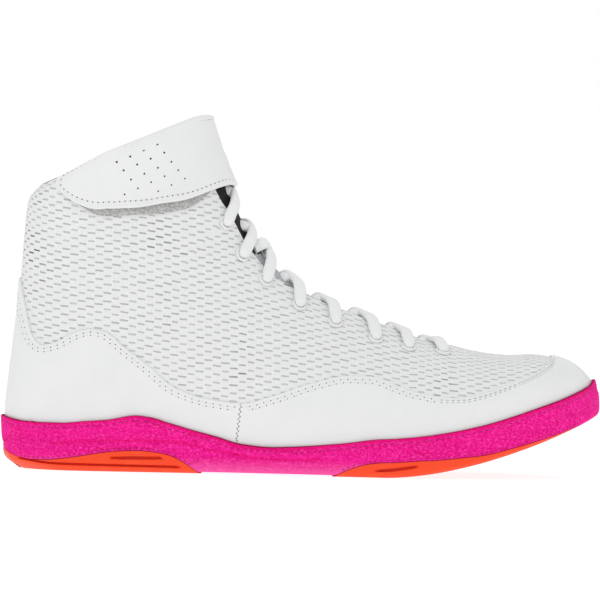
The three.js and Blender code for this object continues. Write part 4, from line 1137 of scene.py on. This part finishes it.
def makeTongue():
    settings = {"wall": 2.5, "tuck": 9.0, "widen": 3.0, "front": 0.9, "blackAbove": 106.0}
    lines = np.linspace(throatRow - settings["front"], collarRow, 150)
    under = shoe["upperWall"] + 3 * shoe["clearance"]
    across = curveThrough([0, 0.5, 0.8, 1], [0, 0.6, 0.9, 1])
    tuck = curveThrough([0, 0.8, 1], [0, 0, 1])
    sink = curveThrough([0, 0.4, 0.8, 1], [1.25, 1.2, 1.1, 1])

    def at(row, share, side):
        out = 1 - share
        widen = np.where(row <= throatRow, across(out) * settings["widen"], 0)
        half = across(out) * throatHalf(row) + widen + tuck(out) * settings["tuck"]
        return row, np.where(half > 0, upAtHalf(row, half), 1)
    sheet = smoothSheet(lines, np.linspace(0, 1, 26), at)
    openThere = ease((sheet["line"] - throatRow - 0.6) / 1.2)
    risen = 1 - 0.58 * ease((sheet["line"] - 12.4) / 1.6)
    top = -under * mix(1, sink(1 - sheet["share"]) * risen, openThere)
    points, faces, kinds, _ = wallOf(sheet["points"], sheet["normals"], sheet["faces"],
                                     top - settings["wall"], top)
    high = sheet["points"][:, 2][sheet["faces"]].mean(axis=1) > settings["blackAbove"]
    kinds[:len(high)] = np.where(high, 1, 0)
    cloths = [finishes[key] for key in ("tongue", "black", "black")]
    finishPiece(toObject("tongue_knit", points, faces, cloths, kinds=kinds), "lining", "tongue")


makeTongue()


def makeCollar():
    # A round binding over the collar's edge, from one side of the throat round the heel to the other
    settings = {"radius": 1.15, "sink": 1.15, "lift": 0.35, "steps": 130, "around": 12}
    share = np.linspace(0, 1, settings["steps"])
    parts = []
    for side in (-1, 1):
        up = share * throatReach(float(collarRow))
        row = np.full(up.shape, float(collarRow))
        normal = normalAt(row, up, side)
        ahead = formAt(row + 0.15, up, side) - formAt(row, up, side)
        top = unit(ahead - normal * np.sum(ahead * normal, -1, keepdims=True))
        path = formAt(row, up, side) - normal * settings["sink"] + top * settings["lift"]
        parts.append((path, normal, top))
    path, normal, top = (np.concatenate([parts[0][k][::-1], parts[1][k][1:]]) for k in range(3))
    angle = np.linspace(0, 2 * math.pi, settings["around"], endpoint=False)
    fade = np.sqrt(np.clip(np.minimum(np.arange(len(path)), np.arange(len(path))[::-1]) / 3 + 0.08, 0, 1))
    ring = path[:, None] + settings["radius"] * fade[:, None, None] * (
        np.cos(angle)[None, :, None] * normal[:, None] + np.sin(angle)[None, :, None] * top[:, None])
    ringSolid("collar_binding", ring, [finishes["black"]], "lining", sharp=70)


makeCollar()


# Strap and its loop patch

strap = {"wall": 2.0, "seat": 1.9, "innerSeat": 0.6, "endSeat": 0.7, "innerStart": 0.12, "rimWidth": 1.6,
         "rimRise": 0.45, "seamInset": 2.5, "innerDrop": 0.1, "uprightFrom": 28.4}
strapRows = np.array([  # place along the strap, then x and rise of its low edge and its high edge, in shares
    (0, 0.0917, 0.802, 0.0938, 0.812),
    (0.03, 0.0965, 0.779, 0.1028, 0.822),
    (0.10, 0.1087, 0.759, 0.1163, 0.840),
    (0.20, 0.1285, 0.737, 0.1354, 0.863),
    (0.34, 0.1594, 0.723, 0.1743, 0.905),
    (0.50, 0.2083, 0.728, 0.2222, 0.948),
    (0.66, 0.2604, 0.741, 0.2639, 0.981),
    (0.80, 0.3125, 0.761, 0.3020, 1.006),
])
strapRidge = {"low": 0.793, "high": 1.012}


def strapCurves():
    stops = np.append(strapRows[:, 0], 1.0)
    bed = bedHeight(0.0)
    curves = {}
    for k, edge in ((1, "low"), (3, "high")):
        row, up = placeAt(strapRows[:, k] * length, bed + strapRows[:, k + 1] * shoe["collarRise"])
        ridge = rowWith("topUp", bed + strapRidge[edge] * shoe["collarRise"], heelRow, lastRow, -1)
        curves[edge] = (curveThrough(stops, np.append(row, ridge)), curveThrough(stops, np.append(up, 1.0)))
    return curves


strapShape = strapCurves()


def onStrap(line, share):
    row = mix(strapShape["low"][0](line), strapShape["high"][0](line), share)
    return row, mix(strapShape["low"][1](line), strapShape["high"][1](line), share)


def strapForm(row, up, side):
    # Above the collar the strap stands upright: there it takes its width from the section under it
    row, up, side = np.broadcast_arrays(np.asarray(row, float), up, side)
    point, normal = formAt(row, up, side), normalAt(row, up, side)
    start = np.full(row.shape, strap["uprightFrom"])
    s = sectionAt(start)
    under = halving(lambda up: mix(s["baseAlong"], s["topAlong"], acrossSection(s, up)[0]) > point[..., 0],
                    np.zeros(row.shape), np.ones(row.shape), 22)
    share = ease((0.86 - up) / 0.3) * (row > start)
    point[..., 1] = mix(point[..., 1], formAt(start, under, side)[..., 1], share)
    lean = normalAt(start, under, side)
    lean[..., 2] = lean[..., 2] * 0.3
    steep = share * ease((row - start) / 0.8)
    return point, unit(mix(normal, unit(lean), steep[..., None]))


def strapLift(side, line):
    # Over the loop patch on the outer side, down on the upper at the round end and on the inner side
    outer = mix(strap["endSeat"], strap["seat"], ease(line / 0.2))
    return np.where(side > 0, mix(strap["seat"], strap["innerSeat"], ease((1 - line) / 0.3)), outer)


def makeStrap():
    shares = sharesUp(36, bottom=True)
    parts = {"points": [], "faces": [], "normals": [], "tags": []}
    for side, start in ((-1, 0.0), (1, strap["innerStart"])):
        reach = np.linspace(0, 1, 150) ** (1.6 if side < 0 else 1)
        line, share = np.meshgrid(start + (1 - start) * reach, shares, indexing="ij")
        share = share * (1 - max(side, 0) * strap["innerDrop"] * ease((1 - line) / 0.25))
        first = sum(len(part) for part in parts["points"])
        grid, normal = strapForm(*onStrap(line, share), side)
        parts["points"].append(grid.reshape(-1, 3))
        parts["normals"].append(normal.reshape(-1, 3))
        size = np.linalg.norm(np.diff(grid, axis=1), axis=-1)
        low = np.concatenate([np.zeros((len(reach), 1)), np.cumsum(size, axis=1)], axis=1)
        edge = np.minimum(low, low[:, -1:] - low)
        if side < 0:
            edge = np.minimum(edge, distances(grid[:, len(shares) // 2])[:, None] * 1.2)
        sides = np.full(line.shape, float(side))
        parts["tags"].append(np.stack([sides, line, edge], -1).reshape(-1, 3))
        parts["faces"].append(gridFaces(len(reach), len(shares), turned=side < 0) + first)
    joined = {key: np.concatenate(part) for key, part in parts.items()}
    points, faces, (normals, tags) = weld(joined["points"], joined["faces"],
                                          (joined["normals"], joined["tags"]))
    lift = strapLift(tags[:, 0], tags[:, 1])
    rim = 1 - ease((tags[:, 2] - strap["rimWidth"]) / 0.7)
    thick = strap["wall"] - strap["rimRise"] * (1 - rim)
    outer = lift + thick * (0.3 + 0.7 * rounded(tags[:, 2], 0.9))
    shell, faces, kinds, _ = wallOf(points, unit(normals), faces, lift, outer)
    cloths = [finishes[key] for key in ("leather", "loop", "leather")]
    finishPiece(toObject("ankle_strap_leather", shell, faces, cloths, kinds=kinds), "leather", "ankle_strap")


def makePatch():
    settings = {"wall": 1.0, "show": 3.4, "reach": 0.6, "start": 0.14, "end": 0.985}
    line, share = np.meshgrid(np.linspace(settings["start"], settings["end"], 120), sharesUp(14, bottom=True),
                              indexing="ij")
    stops = np.append(strapRows[:, 0], 1.0)
    last = (0.352, 0.79, 0.335, 1.01)
    read = [curveThrough(stops, np.append(strapRows[:, k], last[k - 1])) for k in (1, 2, 3, 4)]
    lowX, lowRise, highX, highRise = (curve(line) for curve in read)
    x = mix(lowX, highX, share * settings["reach"]) * length
    z = bedHeight(0.0) + mix(lowRise, highRise, share * settings["reach"]) * shoe["collarRise"]
    show = settings["show"] * ease((line - settings["start"]) / 0.26) * (1 + 0.3 * ease((line - 0.5) / 0.2))
    show = show * ease((settings["end"] - line) / 0.22)
    row, up = placeAt(x, z - show * (1 - share))
    points, normals = formAt(row, up, -1).reshape(-1, 3), normalAt(row, up, -1).reshape(-1, 3)
    faces = gridFaces(*line.shape, turned=True)
    inner = np.full(len(points), shoe["clearance"] * 0.5)
    shell, faces, _, _ = wallOf(points, normals, faces, inner, inner + settings["wall"])
    finishPiece(toObject("strap_loop_pile", shell, faces, [finishes["loop"]]), "loop", "strap_loop_patch")


makeStrap()
makePatch()
print("strap ready")


# Eyelets and lace

def tangentFrame(row, up, side):
    # Across, along and out of the form at a place
    point, normal = formAt(row, up, side), normalAt(row, up, side)
    across = unit(np.cross(normal, upright(normal)))
    return point, across, np.cross(across, normal), normal


def makeEyelets():
    # A half-round ring on the form and a barrel down into the hole, turned round the eyelet's axis
    settings = {"around": 40, "inside": 2.6, "foot": 0.2, "barrel": 0.4, "barrelTop": 0.1}
    middle = (eyelet["ring"] + eyelet["hole"]) / 4
    half = (eyelet["ring"] - eyelet["hole"]) / 4
    bore = eyelet["hole"] / 2
    barrel = bore + settings["barrel"]
    turn = np.linspace(0, math.pi, 9)
    high = eyelet["seat"] + eyelet["rise"] - settings["foot"]
    reach = np.append(middle + half * np.cos(turn), [bore, barrel, barrel])
    rise = np.append(settings["foot"] + high * np.sin(turn),
                     [-settings["inside"], -settings["inside"], settings["barrelTop"]])
    angle = np.linspace(0, 2 * math.pi, settings["around"], endpoint=False)[:, None, None]
    faces = gridFaces(len(angle) + 1, len(reach), closed=True) % (len(angle) * len(reach))
    for side, word in sideWords:
        for i in range(len(eyeletX)):
            point, across, along, normal = tangentFrame(eyeletRow[i], eyeletUp[i], side)
            spoke = np.cos(angle) * across + np.sin(angle) * along
            points = (point + spoke * reach[None, :, None] + rise[None, :, None] * normal).reshape(-1, 3)
            piece = toObject(f"{word}_eyelet_ring_{i + 1}", points, outward(points, faces, point),
                             [finishes["ring"]])
            finishPiece(piece, "eyelet", f"{word}_eyelet_{i + 1}")


lace = {"width": 6.1, "depth": 3.5, "leaves": 2.2, "cruise": -1.2, "crossing": 1.4, "around": 24,
        "sink": 4.5, "reach": 0.47, "settle": 0.66, "dive": 4.2, "topRows": 5.2,
        "levels": [0.3, 1.2, 1.9, 0.2, -1.4, -0.7, -0.4, -0.4],
        "farLevels": [0.3, 1.0, 4.2, 0.2, -1.2, -0.5, -0.2, -0.2],
        "turns": [0.5, 0.24, 0.34, 0.45, 0.5, 0.5, 0.5, 0.5],
        "farTurns": [0.5, 0.22, 0.62, 0.45, 0.5, 0.5, 0.5, 0.5]}


def lacePath(level, side):
    # Out of the hole, over the throat's edge, across the ridge and down under the other edge
    fromRow, fromUp = eyeletRow[level], eyeletUp[level]
    toRow = fromRow + lace["topRows"] if level == 0 else eyeletRow[level - 1]
    toUp = fromUp if level == 0 else eyeletUp[level - 1]
    far = side > 0
    ridgeRow = mix(fromRow, toRow, lace["farTurns" if far else "turns"][level])
    cruise = lace["cruise"] + (lace["farLevels"][level] if far else lace["levels"][level] + lace["crossing"])
    t = np.linspace(0, 1, 30)[1:]
    row, up = mix(fromRow, ridgeRow, t), mix(fromUp, 1, t)
    edge = 0.5 * np.exp(-((t - 0.42) / 0.22) ** 2)
    rise = mix(lace["leaves"], cruise, ease((t - 0.25) / lace["settle"])) + edge
    sides = np.full(t.shape, float(side))
    point, _, _, normal = tangentFrame(fromRow, fromUp, side)
    ahead = unit(formAt(mix(fromRow, ridgeRow, 0.3), mix(fromUp, 1, 0.3), side) - point)
    down = np.linspace(1, 0, 10)
    hole = point + normal * mix(lace["leaves"], -lace["sink"], down ** 1.3)[:, None]
    hole = hole - ahead * (0.2 * np.sin(down * math.pi / 2))[:, None]
    over = normalAt(row, up, sides)
    path = [hole, formAt(row, up, sides) + over * rise[:, None]]
    normals = [mix(normal, unit(normal * 0.15 - ahead), down[:, None]), over]
    t = np.linspace(0, lace["reach"], 16)[1:]
    row, up = mix(ridgeRow, toRow, t), mix(1, toUp, t)
    dive = cruise - lace["dive"] * ease((t - lace["reach"] * 0.35) / (lace["reach"] * 0.65))
    other = normalAt(row, up, -side)
    path.append(formAt(row, up, -side) + other * dive[:, None])
    normals.append(other)
    path, normals = np.concatenate(path), unit(np.concatenate(normals))
    for _ in range(3):
        path[1:-1] = (path[:-2] + 2 * path[1:-1] + path[2:]) / 4
    return path, normals


def strand(path, normals):
    # An oval carried along the path, flat side to the form
    ahead = unit(np.gradient(path, axis=0))
    for _ in range(2):
        normals[1:-1] = (normals[:-2] + 2 * normals[1:-1] + normals[2:]) / 4
    across = unit(np.cross(ahead, normals))
    rise = np.cross(across, ahead)
    angle = np.linspace(0, 2 * math.pi, lace["around"], endpoint=False)
    run = distances(path)
    narrow = 0.70 + 0.30 * ease((run - 3.5) / 6)
    wide = np.sign(np.cos(angle)) * np.abs(np.cos(angle)) ** 0.9 * lace["width"] / 2
    deep = np.sign(np.sin(angle)) * np.abs(np.sin(angle)) ** 0.9 * lace["depth"] / 2
    ring = (path[:, None] + across[:, None] * (narrow[:, None] * wide[None])[..., None]
            + rise[:, None] * ((1.25 - 0.25 * narrow)[:, None] * deep[None])[..., None])
    uv = np.stack(np.broadcast_arrays(run[:, None], (angle / math.pi * 8)[None]), -1)
    points = ring.reshape(-1, 3)
    faces = outward(points, tubeFaces(len(path), len(angle)), points.mean(axis=0))
    return points, faces, uv.reshape(-1, 2)


def makeLace():
    for level in range(len(eyeletX)):
        points, faces, uvs = [], [], []
        for side in (-1, 1):
            found, made, uv = strand(*lacePath(level, side))
            faces.append(made + sum(len(part) for part in points))
            points.append(found)
            uvs.append(uv)
        piece = toObject(f"lace_run_{level + 1}", np.concatenate(points), np.concatenate(faces),
                         [finishes["lace"]], np.concatenate(uvs), sharp=80)
        finishPiece(piece, "lace", f"lace_crossing_{level + 1}")


makeEyelets()
makeLace()
print("lace ready")


# Stitches

stitch = {"radius": 0.24, "around": 6, "prickRadius": 0.36, "ring": [-0.5, -0.42, -0.2, 0.2, 0.42, 0.5],
          "thick": [0.25, 0.8, 1.0, 1.0, 0.8, 0.25], "bend": [-1.4, -0.4, 0, 0, -0.4, -1.4]}
overlaySeams = {  # pitch, length, radius and dip of the pressed lines in place of stitches
    "vamp": (2.7, 2.1, 0.24, 0.1),
    "toe": (1.3, 1.25, 0.16, 0.05),
}


def capsules(name, middle, ahead, out, cloth, rider, size, radius, dip):
    # One mesh of small capsules, each a few rings that bend into the cloth at both ends
    across = unit(np.cross(ahead, out))
    along, thick, bend = (np.array(stitch[key]) * by
                          for key, by in (("ring", size), ("thick", radius), ("bend", radius)))
    angle = np.linspace(0, 2 * math.pi, stitch["around"], endpoint=False)
    ring = (middle[:, None, None] + ahead[:, None, None] * along[None, :, None, None]
            + across[:, None, None] * (thick[:, None] * np.cos(angle)[None])[None, ..., None]
            + out[:, None, None] * (thick[:, None] * np.sin(angle)[None] * 0.8 + bend[:, None]
                                    - dip)[None, ..., None])
    one = outward(ring[0].reshape(-1, 3), tubeFaces(len(along), len(angle)), middle[0])
    every = repeated(one, len(along) * len(angle), len(middle))
    finishPiece(toObject(name, ring.reshape(-1, 3), every, [finishes[cloth]], sharp=80), rider)


def stitchesAlong(name, path, normals, cloth, rider, pitch, size, radius=stitch["radius"], dip=0.12,
                  start=0.5):
    # Capsules at even steps along a path
    run = distances(path)
    places = np.arange(pitch * start, run[-1] - pitch / 2, pitch)

    def read(field, at):
        return np.stack([np.interp(at, run, field[:, k]) for k in range(3)], -1)
    ahead = unit(read(path, places + 0.3) - read(path, places - 0.3))
    capsules(name, read(path, places), ahead, unit(read(normals, places)), cloth, rider, size, radius, dip)


def seamAlong(name, path, normals, rider, pitch=3.5, shift=0.5, prick=0.8):
    # White thread, with the needle's prick between one stitch and the next, painted near black for the shade
    # in its hole
    stitchesAlong(name, path, normals, "thread", rider, pitch, pitch * 0.7, start=shift)
    stitchesAlong(name + "_pricks", path, normals, "needle", rider, pitch, prick, stitch["prickRadius"],
                  dip=0.14, start=shift + 0.5)


def overlaySeam(below, side, lift, steps=1400):
    # The overlay's edge moved inwards in the side view, then laid on the form, in its four lengths
    x = np.linspace(overlayRows[0][0] * length, overlayRows[-1][0] * length, steps)
    line = np.stack([x, bedHeight(x) + overlayEdge(x)], -1)
    ahead = unit(np.gradient(line, axis=0))
    below = below * mix(1, 0.62, ease((x / length - 0.62) / 0.2))[:, None]
    moved = line + np.stack([ahead[:, 1], -ahead[:, 0]], -1) * below
    row, up = placeAt(moved[:, 0], moved[:, 1])
    inside = (up < 0.992) & (row > 1.2)
    row, up, moved = row[inside], up[inside], moved[inside]
    normal = normalAt(row, up, side)
    path = formAt(row, up, side) + normal * lift
    fromSeam = moved[:, 0] - seamAcross(moved[:, 1], 0)
    vamp, toe = moved[:, 0] > 0.73 * length, moved[:, 0] > 0.862 * length
    parts = {"heel": (fromSeam < -0.7) & (row < tabRow - 0.3), "front": (fromSeam > 0.7) & ~vamp,
             "vamp": vamp & ~toe, "toe": toe}
    return [(name, path[part], normal[part]) for name, part in parts.items()]


def midsoleSeam(below, side):
    # Below the suede's upper edge: on the lip where that is high enough, else on the block's side
    rows = np.linspace(0.25, heelRow + 1.4, 1100)
    up = upUnder(rows, lambda x: np.maximum(wrapEdge(x) - below, 0.02))
    normal = normalAt(rows, up, side)
    point = formAt(rows, up, side)
    foot = formAt(rows, 0 * up, side)
    over = point[:, 2] - foot[:, 2]
    swell = sole["bulge"] * (1 - ease(over / 4.5)) * np.where(rows <= heelRow, 1, 0)
    onLip = point + normal * (lipInner + sole["wrapWall"] + swell)[:, None]
    flat = np.minimum(rows, heelRow)

    def low(x):
        return bedHeight(x) + wrapEdge(x) - below
    strip, _ = sideStrip(flat, side, low, lambda x: low(x) + 0.4, 2)
    _, out = featherFrame(flat, side)
    share = ease((over - 0.1) / 1.2)[:, None]
    share = np.where(rows[:, None] > heelRow, 1, share)
    return mix(strip[:, 0], onLip, share), unit(mix(out, normal, share))


def podSeam(name, side):
    # The thread that runs in the suede just above a pod
    start, end = podEnds[name]
    base = sectionAt(soleLines)["baseAlong"] / length
    rows = soleLines[(base > max(start, 0.03) + 0.012) & (base < end - 0.012)]
    strip, _ = sideStrip(rows, side, lambda x: lowerEdge(x) + 1.0, lambda x: lowerEdge(x) + 1.6, 2)
    _, out = featherFrame(rows, side)
    return strip[:, 0], out


def joinSeam(side, word, lift):
    # Pricks at the corners of the zigzag join of the two overlays
    shares = np.linspace(0.05, 0.97, 400)
    row = seamRows(shares, 0)
    up = shares * upUnder(row, overlayEdge)
    normal = normalAt(row, up, side)
    path = formAt(row, up, side) + normal * (lift - 0.12)
    showing = path[:, 2] > bedHeight(path[:, 0]) + wrapEdge(path[:, 0]) + 0.5
    path, normal = path[showing], normal[showing]
    wave = np.abs((path[:, 2] / overlay["seamPitch"]) % 1 - 0.5)
    turns = np.where(np.diff(np.sign(np.diff(wave))) != 0)[0] + 1
    corners, out = path[turns] - [0, 0, 0.05], normal[turns]
    # Painted shade: the pricks are near black for the shade in the needle holes.
    capsules(f"{word}_join_pricks", corners, upright(corners), out, "needle", "leather", 0.7, 0.34, 0.05)


def strapSeam(side, steps=420):
    # A line at one distance from the strap's edges: along the bottom, round its end and back along the top
    line = np.linspace(0 if side < 0 else strap["innerStart"], 0.985, steps)
    grid, share = np.meshgrid(line, np.linspace(0, 1, 40), indexing="ij")
    surface, _ = strapForm(*onStrap(grid, share), side)
    wide = np.sum(np.linalg.norm(np.diff(surface, axis=1), axis=-1), axis=1)
    inside = distances(surface[:, 20]) > strap["seamInset"]
    line, inset = line[inside], np.minimum(strap["seamInset"] / wide[inside], 0.45)
    turn = np.linspace(0, 1, 30)[1:-1]
    lines = np.concatenate([line[::-1], np.full(28, line[0]), line])
    shares = np.concatenate([inset[::-1], mix(inset[0], 1 - inset[0], turn), 1 - inset])
    path, _ = strapForm(*onStrap(lines, shares), side)
    run = distances(path)
    even = np.arange(0, run[-1], 0.25)
    lines, shares = np.interp(even, run, lines), np.interp(even, run, shares)
    soft = np.ones(13) / 13
    for field in (lines, shares):
        field[6:-6] = np.convolve(field, soft, "valid")
    path, normal = strapForm(*onStrap(lines, shares), side)
    lift = strapLift(np.full(lines.shape, float(side)), lines) + strap["wall"] - strap["rimRise"]
    return path + normal * lift[:, None], normal


def makeStitches():
    overlayTop = shoe["clearance"] + overlay["wall"]
    for side, word in sideWords:
        for k, below in enumerate((1.9, 3.4)):
            for name, path, normals in overlaySeam(below, side, overlayTop):
                label = f"{word}_{name}_overlay_stitches_{k + 1}"
                if name in overlaySeams:
                    stitchesAlong(label, path, normals, "line", "leather", *overlaySeams[name])
                else:
                    seamAlong(label, path, normals, "leather", shift=0.5 + k / 2)
        joinSeam(side, word, overlayTop)
        label = f"{word}_midsole_stitches"
        stitchesAlong(label, *midsoleSeam(2.5, side), "pinkThread", "suede", 3.1, 2.1, 0.36)
        for name in podEdges:
            label = f"{word}_{name}_pod_stitches"
            stitchesAlong(label, *podSeam(name, side), "pinkThread", "suede", 2.7, 1.9, 0.30)
    for side, word in sideWords:
        seamAlong(f"{word}_strap_stitches", *strapSeam(side), "leather", 2.6, prick=1.1)


makeStitches()
print("stitches ready")


# Strap perforations: rows of small dots that slant with the strap, each a shallow dish painted near black for
# the shade inside its hole

perforation = {"first": (72.15, 158.1), "along": (-6.12, -2.93), "down": (3.36, -4.35),
               "rowCounts": [4, 4, 4, 5, 3], "radius": 0.40, "grow": 0.16, "around": 14}


def makePerforations():
    chart = [(i, j) for j, count in enumerate(perforation["rowCounts"]) for i in range(count)]
    i, j = np.array(chart, float).T
    first, along, down = (perforation[key] for key in ("first", "along", "down"))
    x, z = (first[k] + i * along[k] + j * down[k] for k in (0, 1))
    point, normal = strapForm(*placeAt(x, z), -1)
    across = unit(np.cross(normal, upright(normal)))
    along = np.cross(across, normal)
    point = point + normal * (strap["seat"] + strap["wall"] - strap["rimRise"])
    radius = perforation["radius"] + perforation["grow"] * (1 - j / 4)
    angle = np.linspace(0, 2 * math.pi, perforation["around"], endpoint=False)
    reach, rise = np.array([0.0001, 0.8, 1.0, 0.9, 0.0001]), np.array([0.02, 0.05, 0.0, -0.25, -0.25])
    wide, deep = (radius[:, None, None] * turned(angle)[None, :, None] * reach for turned in (np.cos, np.sin))
    ring = (point[:, None, None] + across[:, None, None] * wide[..., None]
            + along[:, None, None] * deep[..., None] + normal[:, None, None] * rise[None, None, :, None])
    size = len(angle) * len(reach)
    one = outward(ring[0].reshape(-1, 3), gridFaces(len(angle) + 1, len(reach)) % size, point[0])
    points, faces, _ = weld(ring.reshape(-1, 3), repeated(one, size, len(chart)), near=0.0005)
    finishPiece(toObject("strap_perforations", points, faces, [finishes["hole"]]), "leather")


makePerforations()


# Floor, light and camera

def towards(direction, roll=0.0):
    return Vector(direction).to_track_quat("-Z", "Y") @ Quaternion((0, 0, 1), roll)


def makeStudio():
    settings = {"azimuth": 0.0, "elevation": 1.0, "roll": 1.06, "distance": 3.2, "imageWidth": 0.28944,
                "middle": (0.0863, -0.01, 0.08347), "strength": 0.72,
                "lamps": {  # place, size and power
                    "key": ((-0.7, -1.3, 1.5), 0.9, 3.4),
                    "fill": ((1.1, -1.3, 0.7), 1.4, 0.8),
                    "top": ((0.1, 0.2, 1.9), 1.6, 3.0),
                    "back": ((0.3, 1.5, 1.2), 1.5, 1.6)}}
    bpy.ops.mesh.primitive_plane_add(size=12, location=(0, 0, 0))
    floor = bpy.context.object
    floor.name = "floor"
    n = Nodes("pale floor", 0.7)
    n.shader.inputs["Base Color"].default_value = (0.22, 0.22, 0.22, 1)
    n.shader.inputs["Emission Color"].default_value = (1, 1, 1, 1)
    n.shader.inputs["Emission Strength"].default_value = 0.86
    floor.data.materials.append(n.material)
    bpy.context.scene.view_settings.view_transform = "Standard"
    world = bpy.data.worlds.new("studio")
    world.use_nodes = True
    tree = world.node_tree
    sky = tree.nodes["Background"]
    sky.inputs[0].default_value = (1, 1, 1, 1)
    sky.inputs[1].default_value = settings["strength"]
    paper = tree.nodes.new("ShaderNodeBackground")  # the white paper behind the shoe, seen but no light
    paper.inputs[0].default_value = (1, 1, 1, 1)
    rays = tree.nodes.new("ShaderNodeLightPath")
    choice = tree.nodes.new("ShaderNodeMixShader")
    tree.links.new(rays.outputs["Is Camera Ray"], choice.inputs[0])
    tree.links.new(sky.outputs[0], choice.inputs[1])
    tree.links.new(paper.outputs[0], choice.inputs[2])
    tree.links.new(choice.outputs[0], tree.nodes["World Output"].inputs[0])
    bpy.context.scene.world = world
    aim = np.array(settings["middle"])
    for name, (spot, size, power) in settings["lamps"].items():
        data = bpy.data.lights.new(name, "AREA")
        data.size = size
        data.energy = power
        lamp = bpy.data.objects.new(name, data)
        lamp.location = spot
        lamp.rotation_mode = "QUATERNION"
        lamp.rotation_quaternion = towards(aim - np.array(spot))
        bpy.context.scene.collection.objects.link(lamp)
    camera = bpy.data.cameras.new("camera")
    camera.sensor_width = 36
    camera.lens = 36 * settings["distance"] / settings["imageWidth"]
    camera.clip_end = 50
    holder = bpy.data.objects.new("camera", camera)
    lift = math.radians(settings["elevation"])
    turn = math.radians(settings["azimuth"])
    back = np.array([-math.sin(turn) * math.cos(lift), -math.cos(turn) * math.cos(lift), math.sin(lift)])
    holder.location = aim + back * settings["distance"]
    holder.rotation_mode = "QUATERNION"
    holder.rotation_quaternion = towards(-back, math.radians(settings["roll"]))
    bpy.context.scene.collection.objects.link(holder)
    bpy.context.scene.camera = holder


makeStudio()
print("studio ready")
